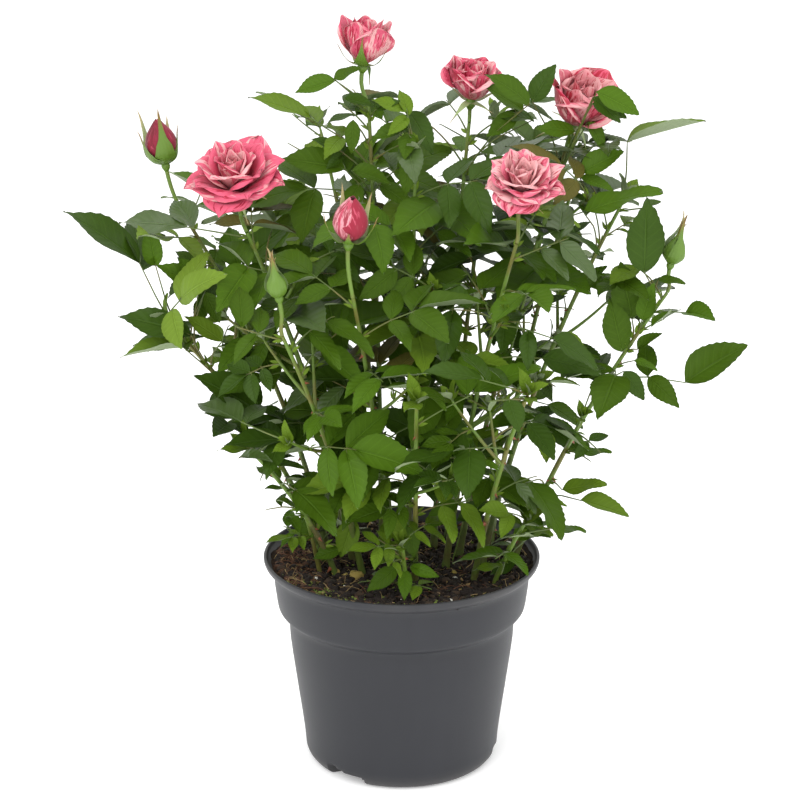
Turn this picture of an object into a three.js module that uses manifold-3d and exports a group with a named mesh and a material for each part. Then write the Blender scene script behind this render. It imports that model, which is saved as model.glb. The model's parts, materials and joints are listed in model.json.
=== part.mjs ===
// A patio rose in bloom, growing in its round plastic nursery pot.
// Millimetres, +Z up. The origin is the middle of the pot's flat underside and -Y is the front.
//
// Every cane is one tapering limb that stands on the soil with a flat cut. Where its leaves start it
// hands over to a leafy mass: a stem, side shoots and compound leaves that branch by a seeded rule.
// Roses and buds stand on stalks of their own on the tips of the canes.

import * as THREE from 'three';
import { mergeVertices } from 'three/addons/utils/BufferGeometryUtils.js';
import Module from 'manifold-3d';

const wasm = await Module();
wasm.setup();

// ---------------------------------------------------------------- driving dimensions

const GAP = 0.3; // clearance between neighbouring solids

const POT = {
  height: 132,
  wall: 1.9,
  footRadius: 53.5, // flat underside
  cornerRadius: 60.8, // top of the bevel round the foot
  cornerHeight: 8,
  stepRadius: 70.8, // body just under the band
  stepHeight: 84,
  bandFootRadius: 76.4,
  bandFootHeight: 92.5,
  bandTopRadius: 79.3,
  bandTopHeight: 114,
  lipRadius: 85.3,
  lipHeight: 127,
  segments: 30,
};

// Drain notches in the foot, each with a slot through its inner wall.
const NOTCH = {
  count: 3,
  azimuth: -128, // of the first one, in degrees
  width: 19,
  height: 6.5,
  reach: 12, // from the foot's edge inwards
  slotWidth: 9,
  slotHeight: 2.6,
};

const SOIL = { level: 122, edgeDrop: 3.5, flatRadius: 73 };

const CANE = { sides: 6, rings: 3, flare: 1.35, tipRadius: 1.35 };

const TWIG = { sides: 3, footRadius: 1.5, tipRadius: 1.05 };

const LEAF = {
  turn: 144, // degrees from one leaf to the next round the stem
  step: 22.5, // along the stem
  reach: 96, // from the stem to the tip of the end leaflet
  terminal: 0.47, // end leaflet, as a share of the reach
  width: 0.6, // of its length
  thickness: 0.024, // of its length
  upperPair: 0.82, // length of the upper pair, as a share of the end leaflet
  lowerPair: 0.66,
  shoots: 1, // side shoots of a cane
  tries: 6, // ways round that are tried for a leaf
  out: 0.7, // how far blades turn outward, against 1 for up
  front: 0.55, // and how far they turn to the front
  spread: 62, // degrees between a side leaflet and the leaf's own line
};

// The goblet that the leaves keep to: its foot, how it flares, its widest radius, how much shallower
// it is than wide, how far leaves may stand out past their own stem, and its top.
const CROWN = {
  footHeight: 150, footRadius: 80, flare: 0.46, radius: 176, depth: 1.12, margin: 38, top: 412,
};

// Canes: name, foot on the soil, where the last leaf stands, how far the lean comes late (0) or
// early (1), the share of the length that is bare, foot radius, seed, and the size of the leaves.
const newCane = (name, foot, tip, lean, bare, radius, seed, size = 1) => ({
  name, foot, tip, lean, bare, radius, seed, size,
});

const CANES = [
  newCane('top_rose', [-12, 14], [-19, 6, 402], 0.2, 0.24, 2.7, 157),
  newCane('right_top_rose', [20, 32], [40, 31, 392], 0.5, 0.27, 2.5, 129),
  newCane('right_high_rose', [36, 20], [100, 21, 382], 0.4, 0.26, 2.5, 13),
  newCane('left_rose', [-30, 8], [-88, -36, 340], 0.35, 0.26, 2.6, 138),
  newCane('left_bud', [-48, 34], [-124, 2, 336], 0.3, 0.28, 2.5, 15),
  newCane('right_rose', [27, -2], [64, -57, 338], 0.4, 0.26, 2.4, 16),
  newCane('front_bud', [-6, -8], [-27, -78, 312], 0.4, 0.3, 2.3, 177, 0.95),
  newCane('left_green_bud', [-24, -12], [-66, -84, 292], 0.4, 0.3, 2.2, 18, 0.95),
  newCane('right_outer', [68, 3], [157, 0, 296], 0.42, 0.22, 2.3, 187, 0.9),
  newCane('left_outer', [-48, 8], [-138, -22, 285], 0.3, 0.27, 2.4, 195),
  newCane('left_low', [-40, -14], [-92, -38, 214], 0.35, 0.35, 1.9, 301, 0.9),
  newCane('back', [-6, 44], [-52, 92, 384], 0.35, 0.26, 2.5, 108),
  newCane('back_right', [30, 52], [58, 98, 388], 0.35, 0.26, 2.4, 116),
  newCane('back_left', [-36, 52], [-100, 82, 324], 0.35, 0.26, 2.4, 223),
  newCane('back_right_outer', [56, 36], [112, 80, 362], 0.35, 0.27, 2.4, 204),
  newCane('upper_right', [50, 8], [134, 24, 350], 0.35, 0.28, 2.4, 152),
  newCane('front_right', [44, -20], [70, -92, 262], 0.4, 0.3, 2.2, 206, 0.95),
  newCane('front', [8, -24], [8, -104, 262], 0.4, 0.3, 2.2, 28, 0.95),
  newCane('middle', [4, 12], [8, -10, 384], 0.5, 0.25, 2.4, 106),
];

// Low shoots come straight out of the soil, so their masses have a short stem inside.
const SHOOTS = [
  newCane('low_front', [3, -44], [0, -58, 160], 0.5, 0.1, 1.5, 41, 0.5),
  newCane('low_left', [-50, -10], [-60, -20, 172], 0.5, 0.2, 1.5, 247, 0.62),
  newCane('low_right', [56, -26], [74, -40, 168], 0.5, 0.2, 1.5, 240, 0.6),
];

// Leaves that reach out of the crown and make its outline: the cane and where on it, the foot and the
// tip of the end leaflet, how many leaflets, and how far the leaf turns its face to the front (0 to 1).
const outerLeaf = (on, at, foot, tip, leaflets, facing) => ({ on, at, foot, tip, leaflets, facing });

const REACHING = [
  outerLeaf('left_outer', 0.94, [-152, -18, 318], [-196, -20, 347], 3, 0.3),
  outerLeaf('left_outer', 0.8, [-120, -30, 275], [-162, -34, 294], 5, 0.4),
  outerLeaf('left_outer', 0.55, [-84, -40, 235], [-122, -46, 256], 3, 0.5),
  outerLeaf('left_low', 0.9, [-68, -44, 219], [-103, -50, 215], 3, 0.35),
  outerLeaf('left_low', 0.6, [-44, -40, 188], [-68, -46, 189], 3, 0.3),
  outerLeaf('right_outer', 0.66, [169, -8, 243], [203, -12, 269], 5, 0.45),
  outerLeaf('right_outer', 0.3, [97, -10, 176], [124, -14, 180], 3, 0.4),
  outerLeaf('right_outer', 0.24, [108, -12, 170], [138, -18, 165], 3, 0.3),
  outerLeaf('right_outer', 0.18, [94, -16, 164], [108, -26, 153], 3, 0.7),
  outerLeaf('upper_right', 0.97, [133, 22, 382], [180, 26, 392], 3, 0),
  outerLeaf('upper_right', 0.84, [105, -14, 347], [149, -18, 363], 5, 0.3),
  outerLeaf('right_outer', 0.94, [141, -14, 312], [140, -18, 358], 1, 1),
  outerLeaf('right_high_rose', 0.96, [80, 24, 398], [83, 26, 426], 3, 0.8),
  outerLeaf('right_high_rose', 0.99, [118, 8, 404], [140, 2, 400], 3, 0.4),
  outerLeaf('top_rose', 0.88, [-53, 8, 398], [-88, 6, 413], 5, 0.25),
  outerLeaf('top_rose', 0.96, [-34, 0, 424], [-57, -2, 427], 3, 0.4),
  outerLeaf('right_top_rose', 0.9, [-1, 12, 405], [38, 6, 411], 3, 0.5),
];

// Roses and buds: name, the cane that carries it, the middle of the flower, the way it faces, how wide
// and how tall it is, and how far it has opened (0 a closed bud, 1 flat open).
const newFlower = (name, on, at, faces, width, height, open) => ({
  name, on, at, faces, width, height, open,
});

const FLOWERS = [
  newFlower('rose_top', 'top_rose', [-21, 5, 441], [0.12, -0.1, 1], 35, 36, 0.35),
  newFlower('rose_right_top', 'right_top_rose', [42, 30, 416], [0.1, -0.3, 1], 38, 28, 0.6),
  newFlower('rose_right_high', 'right_high_rose', [106, 20, 408], [0.3, -0.5, 1], 46, 36, 0.6),
  newFlower('rose_left', 'left_rose', [-93, -40, 366], [-0.05, -0.75, 1], 60, 38, 1),
  newFlower('rose_right', 'right_rose', [66, -60, 368], [0.05, -0.9, 1], 49, 34, 0.85),
  newFlower('rose_front', 'front_bud', [-28, -80, 354], [0.1, -0.25, 1], 24, 27, 0.2),
  newFlower('bud_left', 'left_bud', [-139, 0, 385], [-0.15, 0, 1], 16, 25, 0),
  newFlower('bud_green', 'left_green_bud', [-68, -85, 318], [-0.15, -0.1, 1], 11, 22, 0),
  newFlower('bud_right', 'right_outer', [161, 0, 323], [0.25, -0.05, 1], 11, 24, 0),
];

const SEPAL = { length: 21, slim: 0.5, budRise: 0.95 };
const STALKS = { half: 0.8, keel: 0.9, root: 0.9 }; // of a compound leaf, and a leaflet's root on it
const STALK = { sides: 5, footRadius: 1.2, tipRadius: 1.1 };

const COLOUR = {
  pot: 0x4e5054, soil: 0x2a1c14, cane: 0x7a8a3c, leaf: 0x3b5f22, rose: 0xe06a88, bud: 0x7d9a3e,
};

// ---------------------------------------------------------------- small helpers

const UP = new THREE.Vector3(0, 0, 1);
const FRONT = new THREE.Vector3(0, -1, 0);

function seeded(seed) {
  let state = seed >>> 0;
  return () => {
    state = (state + 0x6d2b79f5) >>> 0;
    let t = state;
    t = Math.imul(t ^ (t >>> 15), t | 1);
    t ^= t + Math.imul(t ^ (t >>> 7), t | 61);
    return ((t ^ (t >>> 14)) >>> 0) / 4294967296;
  };
}

const vec = (list) => new THREE.Vector3(list[0], list[1], list[2]);
const mix = (a, b, t) => a + (b - a) * t;
const radians = (degrees) => (degrees * Math.PI) / 180;

// A turned frame: local X, Y and Z axes at a place.
function placeAt(geometry, x, y, z, origin) {
  geometry.applyMatrix4(new THREE.Matrix4().makeBasis(x, y, z).setPosition(origin));
  return geometry;
}

function toSolid(geometry) {
  const plain = geometry.clone();
  plain.deleteAttribute('normal');
  plain.deleteAttribute('uv');
  const merged = mergeVertices(plain, 1e-4);
  return new wasm.Manifold(new wasm.Mesh({
    numProp: 3,
    vertProperties: new Float32Array(merged.attributes.position.array),
    triVerts: new Uint32Array(merged.index.array),
  }));
}

// Joins solids and keeps the one that holds together; loose scraps are dropped.
function joined(solids) {
  const whole = wasm.Manifold.union(solids).simplify(0.004);
  const bodies = whole.decompose();
  return bodies.reduce((best, body) => (body.volume() > best.volume() ? body : best));
}

function toMesh(name, solid, colour, roughness = 0.6) {
  const data = solid.getMesh();
  const geometry = new THREE.BufferGeometry();
  geometry.setAttribute('position', new THREE.BufferAttribute(new Float32Array(data.vertProperties), 3));
  geometry.setIndex(new THREE.BufferAttribute(new Uint32Array(data.triVerts), 1));
  geometry.computeVertexNormals();
  const material = new THREE.MeshStandardMaterial({ color: colour, roughness, metalness: 0 });
  const mesh = new THREE.Mesh(geometry, material);
  mesh.name = name;
  return mesh;
}

// ---------------------------------------------------------------- growing by rule

// The line of a cane: it leaves the soil at its foot and bends over to its tip.
function canePath(cane) {
  const foot = new THREE.Vector3(cane.foot[0], cane.foot[1], SOIL.level + GAP);
  const tip = vec(cane.tip);
  const bend = new THREE.Vector3(
    mix(foot.x, tip.x, cane.lean * 0.8),
    mix(foot.y, tip.y, cane.lean * 0.8),
    mix(foot.z, tip.z, 0.5),
  );
  return new THREE.QuadraticBezierCurve3(foot, bend, tip);
}

// Two directions square to a tangent, the first as level as it can be.
function across(tangent) {
  const side = new THREE.Vector3(-tangent.y, tangent.x, 0);
  if (side.length() < 1e-3) side.set(1, 0, 0);
  side.normalize();
  return [side, new THREE.Vector3().crossVectors(tangent, side)];
}

// One compound leaf: a bent leaf stalk, an end leaflet and pairs of side leaflets.
// start: on the stem, leave: the way it leaves, end and tip: where the end leaflet starts and ends,
// hint: roughly the way the leaf's upper face looks.
function compoundLeaf({ start, leave, end, tip, leaflets, hint }) {
  const span = start.distanceTo(end);
  const fork = new THREE.QuadraticBezierCurve3(
    start, start.clone().addScaledVector(leave, span * 0.5), end,
  ).getPoint(0.56);
  const upper = fork.clone().lerp(end, 0.76);
  const length = end.distanceTo(tip);
  const line = tip.clone().sub(end).normalize();
  const face = hint.clone().addScaledVector(line, -hint.dot(line)).normalize();
  const side = new THREE.Vector3().crossVectors(line, face);
  const blades = [{ foot: end.clone(), line, face, length, pair: 0, hand: 1, place: end }];
  const addPair = (number, place, share, spread) => {
    for (const hand of [1, -1]) {
      const way = line.clone().multiplyScalar(Math.cos(spread));
      way.addScaledVector(side, hand * Math.sin(spread)).addScaledVector(face, -0.12).normalize();
      const up = face.clone().addScaledVector(way, -face.dot(way)).normalize();
      const foot = place.clone().addScaledVector(way, 0.4);
      blades.push({ foot, line: way, face: up, length: length * share, pair: number, hand, place });
    }
  };
  if (leaflets >= 3) addPair(1, upper, LEAF.upperPair, radians(LEAF.spread));
  if (leaflets >= 5) addPair(2, fork, LEAF.lowerPair, radians(LEAF.spread + 12));
  return { rachis: [start, fork, end], upper, blades };
}

// The crown is a flaring goblet: how far out leaves reach at a height, and past their own stem.
function reachesOut(point, stem) {
  const goblet = Math.min(CROWN.footRadius + (point.z - CROWN.footHeight) * CROWN.flare, CROWN.radius);
  const limit = Math.max(goblet, Math.hypot(stem.x, stem.y) + CROWN.margin);
  return Math.hypot(point.x, point.y * CROWN.depth) > limit || point.z > CROWN.top;
}

// Where leaves stand along a stem, from one share of its length to another, by phyllotaxis.
function slotsAlong(curve, from, to, random, size, phase, topShare) {
  const slots = [];
  const length = curve.getLength() * (to - from);
  const count = Math.max(2, Math.round(length / (LEAF.step * (size < 0.75 ? 0.42 : 1))));
  for (let k = 0; k < count; k += 1) {
    const share = k / (count - 1);
    const t = mix(from, to, Math.min(Math.max((k + 0.25 * (random() - 0.5)) / (count - 1), 0), 1));
    const turn = phase + radians(LEAF.turn) * k;
    slots.push({ start: curve.getPointAt(t), tangent: curve.getTangentAt(t), turn, share, size, topShare });
  }
  return slots;
}

// The leaf of a slot: a first choice, and the ways round that are tried where that has no room.
function leafAt(slot, seed, attempt) {
  const random = seeded(seed * 31 + attempt);
  const { start, tangent, share } = slot;
  const [u, v] = across(tangent);
  const turn = slot.turn + radians(34 + 40 * Math.min(attempt, 3)) * (random() - 0.5);
  const radial = u.clone().multiplyScalar(Math.cos(turn)).addScaledVector(v, Math.sin(turn));
  const leave = radial.clone().multiplyScalar(0.8).addScaledVector(tangent, 0.6).normalize();
  const way = radial.clone();
  way.z = way.z * 0.4 + mix(-0.06, 0.34, share) + 0.4 * (random() - 0.5);
  way.normalize();
  let reach = LEAF.reach * slot.size * mix(1, slot.topShare, share ** 3) * mix(0.84, 1.1, random());
  for (let cut = 0; cut < 3; cut += 1) {
    if (reachesOut(start.clone().addScaledVector(way, reach), start)) reach *= 0.84;
  }
  const tip = start.clone().addScaledVector(way, reach);
  const bend = start.clone().addScaledVector(leave, reach * 0.42);
  const arc = new THREE.QuadraticBezierCurve3(start, bend, tip);
  const end = arc.getPoint(1 - LEAF.terminal * mix(0.95, 1.08, random()));
  const hint = UP.clone().addScaledVector(FRONT, LEAF.front + 0.9 * (random() - 0.5));
  hint.x += radial.x * LEAF.out + 0.9 * (random() - 0.5);
  hint.y += radial.y * LEAF.out;
  const leaflets = random() < 0.3 ? 3 : 5;
  if (reachesOut(tip, start)) return null;
  return compoundLeaf({ start, leave, end, tip, leaflets, hint });
}

// A leafy mass: the line of its stem, its side shoots, the leaves that reach out and the slots.
function grow(cane) {
  const random = seeded(cane.seed * 7919);
  const path = canePath(cane);
  const phase = random() * 2 * Math.PI;
  const slots = slotsAlong(path, cane.bare + 0.04, 0.985, random, cane.size, phase, 0.78);
  const twigs = [];
  const shoots = cane.size > 0.8 ? LEAF.shoots : 0;
  for (let k = 0; k < shoots; k += 1) {
    const t = mix(cane.bare + 0.16, 0.86, (k + 0.6 * random()) / shoots);
    const start = path.getPointAt(t);
    const tangent = path.getTangentAt(t);
    const [u, v] = across(tangent);
    const turn = phase + 1.1 + 2.4 * k + random();
    const radial = u.clone().multiplyScalar(Math.cos(turn)).addScaledVector(v, Math.sin(turn));
    const length = mix(34, 52, random());
    const way = radial.clone().multiplyScalar(0.75).addScaledVector(tangent, 0.65).normalize();
    const end = start.clone().addScaledVector(way, length);
    end.z += length * 0.16;
    const bend = start.clone().addScaledVector(way, length * 0.5);
    const twig = new THREE.QuadraticBezierCurve3(start, bend, end);
    const own = slotsAlong(twig, 0.5, 1, random, cane.size * 0.8, turn + 2, 0.9);
    if (reachesOut(end, start)) continue;
    twigs.push({ curve: twig, slots: own });
  }
  const reaching = REACHING.filter((item) => item.on === cane.name).map((item) => {
    const start = path.getPointAt(item.at);
    const end = vec(item.foot);
    const leave = end.clone().sub(start).normalize().addScaledVector(path.getTangentAt(item.at), 0.5);
    const hint = UP.clone().multiplyScalar(1 - item.facing * 0.7).addScaledVector(FRONT, item.facing);
    return compoundLeaf({
      start, leave: leave.normalize(), end, tip: vec(item.tip), leaflets: item.leaflets, hint,
    });
  });
  return { path, slots, twigs, reaching };
}

// ---------------------------------------------------------------- shapes

// A tapering limb along a curve: a cylinder whose rings are laid on the curve. At the soil its foot
// is cut flat.
function limb(curve, from, to, radiusAt, sides, rings) {
  const geometry = new THREE.CylinderGeometry(1, 1, 1, sides, rings);
  const position = geometry.attributes.position;
  const point = new THREE.Vector3();
  for (let i = 0; i < position.count; i += 1) {
    const share = position.getY(i) + 0.5;
    const t = mix(from, to, share);
    const centre = curve.getPointAt(t);
    const tangent = curve.getTangentAt(t);
    const [u, v] = across(tangent);
    if (centre.z < SOIL.level + 2 * GAP) v.crossVectors(UP, u);
    const radius = radiusAt(share);
    point.copy(centre);
    point.addScaledVector(u, position.getX(i) * radius).addScaledVector(v, -position.getZ(i) * radius);
    position.setXYZ(i, point.x, point.y, point.z);
  }
  return geometry;
}

// A straight bar from one point to another.
function strut(a, b, radius) {
  return limb(new THREE.LineCurve3(a, b), 0, 1, () => radius, 4, 1);
}

// A sepal: an octahedron drawn out flat, widest below its middle.
function sepalShape(blade) {
  const geometry = new THREE.OctahedronGeometry(1, 0);
  const position = geometry.attributes.position;
  const half = blade.length / 2;
  const width = (blade.length * LEAF.width * SEPAL.slim) / 2;
  const thick = (blade.length * LEAF.thickness) / 2;
  for (let i = 0; i < position.count; i += 1) {
    const tipward = position.getY(i);
    const middle = Math.abs(tipward) < 0.5;
    const y = middle ? half * 0.84 : half + tipward * half;
    position.setXYZ(i, position.getX(i) * width, y, position.getZ(i) * thick);
  }
  const side = new THREE.Vector3().crossVectors(blade.line, blade.face);
  return placeAt(geometry, side, blade.line, blade.face, blade.foot);
}

// The corners of a leaflet on its leaf's stalk: the rim and keel it springs from, its widest places,
// its tip and the lowest point of its keeled underside.
function leafletCorners(leaf, blade) {
  const main = leaf.blades[0];
  const across = new THREE.Vector3().crossVectors(main.line, main.face);
  const scale = blade.pair ? 1 : 0.8;
  const root = (along, aside) => blade.place.clone()
    .addScaledVector(main.line, along).addScaledVector(across, aside * STALKS.half * scale);
  const low = root(blade.pair ? -STALKS.root : 0, blade.hand);
  const high = blade.pair ? root(STALKS.root, blade.hand) : root(0, -1);
  const side = new THREE.Vector3().crossVectors(blade.line, blade.face);
  const middle = blade.foot.clone().addScaledVector(blade.line, blade.length * 0.42);
  const half = blade.length * LEAF.width * 0.5;
  return {
    first: blade.hand === 1 ? low : high,
    right: middle.clone().addScaledVector(side, half),
    tip: blade.foot.clone().addScaledVector(blade.line, blade.length),
    left: middle.clone().addScaledVector(side, -half),
    last: blade.hand === 1 ? high : low,
    keel: blade.place.clone().addScaledVector(main.face, -STALKS.keel * scale),
    under: middle.clone().addScaledVector(blade.face, -blade.length * LEAF.thickness),
  };
}

// Its faces: a flat top of three triangles and an underside of six round its lowest point.
function leafletFaces({ first, right, tip, left, last, keel, under }) {
  const rim = [first, right, tip, left, last, keel, first];
  const faces = [first, right, tip, first, tip, last, last, tip, left];
  for (let k = 0; k + 1 < rim.length; k += 1) faces.push(under, rim[k + 1], rim[k]);
  return faces;
}

// A whole compound leaf as one closed blade: a stalk with a flat top and a keel, and its leaflets.
function compoundShape(leaf, kept) {
  const points = [];
  const faces = [];
  const tri = (a, b, c) => faces.push(a, b, c);
  const point = (place) => points.push(place) - 1;
  const main = leaf.blades[0];
  const [start, fork, end] = leaf.rachis;

  const station = (place, way, half, deep, number) => {
    const face = main.face.clone().addScaledVector(way, -main.face.dot(way)).normalize();
    const side = new THREE.Vector3().crossVectors(way, face);
    const pair = kept.filter((blade) => blade.pair === number && number > 0);
    const rims = (by) => [-half, half].map((aside) => point(
      place.clone().addScaledVector(way, by).addScaledVector(side, aside),
    ));
    const low = rims(pair.length ? -STALKS.root : 0);
    const high = pair.length ? rims(STALKS.root) : low;
    return { low, high, keel: point(place.clone().addScaledVector(face, -deep)), pair };
  };

  const leaflet = (blade, first, last, keel) => {
    const corners = leafletCorners(leaf, blade);
    const number = { first, last, keel };
    for (const name of ['right', 'tip', 'left', 'under']) number[name] = point(corners[name]);
    faces.push(...leafletFaces(number));
  };

  const stations = [
    station(start, fork.clone().sub(start).normalize(), 0.45, 0.6, 0),
    station(fork, main.line, STALKS.half, STALKS.keel, 2),
    station(leaf.upper, main.line, STALKS.half, STALKS.keel, 1),
    station(end, main.line, STALKS.half * 0.8, STALKS.keel * 0.8, 0),
  ].filter((item, number) => number !== 2 || item.pair.length);

  stations.forEach((b, number) => {
    if (number > 0) {
      const a = stations[number - 1];
      tri(a.high[0], a.high[1], b.low[1]);
      tri(a.high[0], b.low[1], b.low[0]);
      tri(a.keel, b.keel, b.low[1]);
      tri(a.keel, b.low[1], a.high[1]);
      tri(a.keel, a.high[0], b.low[0]);
      tri(a.keel, b.low[0], b.keel);
    }
    if (!b.pair.length) return;
    const right = b.pair.find((blade) => blade.hand === 1);
    const left = b.pair.find((blade) => blade.hand === -1);
    tri(b.low[0], b.low[1], b.high[1]);
    tri(b.low[0], b.high[1], b.high[0]);
    if (right) leaflet(right, b.low[1], b.high[1], b.keel);
    else tri(b.keel, b.high[1], b.low[1]);
    if (left) leaflet(left, b.high[0], b.low[0], b.keel);
    else tri(b.keel, b.low[0], b.high[0]);
  });
  const first = stations[0];
  const last = stations[stations.length - 1];
  tri(first.low[1], first.low[0], first.keel);
  if (kept.includes(main)) leaflet(main, last.high[1], last.high[0], last.keel);
  else tri(last.high[0], last.high[1], last.keel);

  const geometry = new THREE.BufferGeometry().setFromPoints(points);
  geometry.setIndex(faces);
  return geometry;
}

// ---------------------------------------------------------------- keeping solids apart

// A convex shape for the test: its corners, face normals and edge directions.
function convex(geometry) {
  const plain = geometry.clone();
  plain.deleteAttribute('normal');
  plain.deleteAttribute('uv');
  const merged = mergeVertices(plain, 1e-4);
  const corners = [];
  for (let i = 0; i < merged.attributes.position.count; i += 1) {
    corners.push(new THREE.Vector3().fromBufferAttribute(merged.attributes.position, i));
  }
  const normals = [];
  const edges = [];
  const add = (list, item) => {
    if (item.length() < 1e-6) return;
    item.normalize();
    if (!list.some((other) => Math.abs(other.dot(item)) > 0.9999)) list.push(item);
  };
  const index = merged.index.array;
  for (let i = 0; i < index.length; i += 3) {
    const [a, b, c] = [corners[index[i]], corners[index[i + 1]], corners[index[i + 2]]];
    const ab = b.clone().sub(a);
    const ac = c.clone().sub(a);
    add(normals, new THREE.Vector3().crossVectors(ab, ac));
    add(edges, ab.clone());
    add(edges, ac.clone());
    add(edges, c.clone().sub(b));
  }
  const centre = corners.reduce((sum, p) => sum.add(p), new THREE.Vector3()).divideScalar(corners.length);
  const radius = Math.max(...corners.map((p) => p.distanceTo(centre)));
  return { corners, normals, edges, centre, radius };
}

// True where some direction shows a clear gap between two convex shapes.
function apart(a, b, gap = GAP) {
  if (a.centre.distanceTo(b.centre) > a.radius + b.radius + gap) return true;
  const split = (axis) => {
    let lowA = Infinity;
    let highA = -Infinity;
    let lowB = Infinity;
    let highB = -Infinity;
    for (const p of a.corners) {
      const d = p.dot(axis);
      lowA = Math.min(lowA, d);
      highA = Math.max(highA, d);
    }
    for (const p of b.corners) {
      const d = p.dot(axis);
      lowB = Math.min(lowB, d);
      highB = Math.max(highB, d);
    }
    return lowA - highB > gap || lowB - highA > gap;
  };
  if (a.normals.some(split) || b.normals.some(split)) return true;
  for (const p of a.edges) {
    for (const q of b.edges) {
      const axis = new THREE.Vector3().crossVectors(p, q);
      if (axis.length() > 1e-3 && split(axis.normalize())) return true;
    }
  }
  return false;
}

const taken = []; // what stands already: { owner, shape }

function isFree(shape, but) {
  return !taken.some((item) => !but(item.owner) && !apart(shape, item.shape));
}

function take(shapes, owner) {
  for (const shape of shapes) taken.push({ owner, shape });
}

// Leaves keep above the soil and outside the pot's lip.
function clearOfPot(shape) {
  return shape.corners.every((p) => {
    const out = Math.hypot(p.x, p.y);
    if (out < SOIL.flatRadius - 1) return p.z > SOIL.level + 1;
    return p.z > POT.height + 1 || out > POT.lipRadius + 4;
  });
}

// ---------------------------------------------------------------- pot and soil

function ring(pairs) {
  return new THREE.LatheGeometry(pairs.map(([r, z]) => new THREE.Vector2(r, z)), POT.segments)
    .rotateX(Math.PI / 2);
}

function buildPot() {
  const p = POT;
  const outside = [
    [0, 0], [p.footRadius, 0], [p.cornerRadius, p.cornerHeight], [p.stepRadius, p.stepHeight],
    [p.bandFootRadius, p.bandFootHeight], [p.bandTopRadius, p.bandTopHeight], [p.lipRadius, p.lipHeight],
    [p.lipRadius, p.height],
  ];
  const inside = [
    [p.lipRadius - 1.5, p.height], [p.bandTopRadius - p.wall, p.bandTopHeight + 0.6],
    [p.bandFootRadius - p.wall, p.bandFootHeight + 0.6], [p.stepRadius - p.wall, p.stepHeight + 0.6],
    [p.cornerRadius - p.wall, p.cornerHeight + 0.9], [p.footRadius - 0.8, p.wall + 0.1], [0, p.wall + 0.1],
  ];
  let pot = toSolid(ring([...outside, ...inside]));
  const block = toSolid(ring([...outside, [0, p.height]]));
  const pockets = [];
  for (let k = 0; k < NOTCH.count; k += 1) {
    const turn = radians(NOTCH.azimuth + (360 / NOTCH.count) * k);
    const box = (width, height, from, to, low) => toSolid(
      new THREE.BoxGeometry(to - from, width, height).translate((from + to) / 2, 0, low + height / 2)
        .rotateZ(turn),
    );
    const inner = p.footRadius - NOTCH.reach + 3;
    const outer = p.cornerRadius + 6;
    const shell = box(NOTCH.width + 2 * p.wall, NOTCH.height + p.wall + 1, inner - p.wall, outer, -1);
    pot = pot.add(shell.intersect(block));
    pot = pot.subtract(box(NOTCH.width, NOTCH.height + 1, inner, outer, -1));
    pot = pot.subtract(box(NOTCH.slotWidth, NOTCH.slotHeight, inner - 2 * p.wall, inner + 1, 2.9));
    pockets.push(box(
      NOTCH.width + 2 * p.wall + 2 * GAP, NOTCH.height + p.wall + 1 + GAP, inner - p.wall - GAP, outer, -1,
    ));
  }
  return { pot, pockets };
}

function buildSoil(pockets) {
  const p = POT;
  const g = p.wall + GAP + 0.05;
  const edge = SOIL.level - SOIL.edgeDrop;
  let soil = toSolid(ring([
    [0, p.wall + 0.1 + GAP], [p.footRadius - 1, p.wall + 0.1 + GAP],
    [p.cornerRadius - g - 0.1, p.cornerHeight + 1.1], [p.stepRadius - g, p.stepHeight + 0.7],
    [p.bandFootRadius - g, p.bandFootHeight + 0.7], [p.bandTopRadius - g, edge],
    [SOIL.flatRadius, SOIL.level], [0, SOIL.level],
  ]));
  for (const pocket of pockets) soil = soil.subtract(pocket);
  return soil;
}

// ---------------------------------------------------------------- roses and buds

// The whorls of petals as one closed body: a lathe whose rims are drawn out into pointed lobes.
function rosette(width, height, open) {
  const rim = width * 0.5;
  const low = -height * 0.5;
  const profile = [
    [0, low - 5, 0], [3, low - 1, 0],
    [rim * mix(0.78, 0.6, open), low + height * mix(0.4, 0.16, open), 0],
    [rim * mix(0.9, 1, open), low + height * mix(0.86, 0.36, open), 0.12],
    [rim * mix(0.66, 0.72, open), low + height * mix(0.84, 0.6, open), 0],
    [rim * mix(0.5, 0.56, open), low + height, -0.1], [0, low + height * 0.86, 0],
  ];
  const geometry = new THREE.LatheGeometry(profile.map(([r, z]) => new THREE.Vector2(r, z)), 10)
    .rotateX(Math.PI / 2);
  const position = geometry.attributes.position;
  for (let i = 0; i < position.count; i += 1) {
    const wave = Math.sin(5 * Math.atan2(position.getY(i), position.getX(i)));
    const lobe = profile[i % profile.length][2];
    const grown = 1 + lobe * wave;
    position.setXYZ(i, position.getX(i) * grown, position.getY(i) * grown,
      position.getZ(i) - Math.abs(lobe) * rim * 0.5 * wave);
  }
  return geometry;
}

function flowerFrame(flower) {
  const z = vec(flower.faces).normalize();
  const x = new THREE.Vector3(0, 1, 0).cross(z).normalize();
  const y = new THREE.Vector3().crossVectors(z, x);
  return [x, y, z];
}

// Where the flower's own axis meets its stalk, under the hip.
function flowerFoot(flower) {
  const axis = vec(flower.faces).normalize();
  return vec(flower.at).addScaledVector(axis, -flower.height * 0.5 - 3);
}

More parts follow.
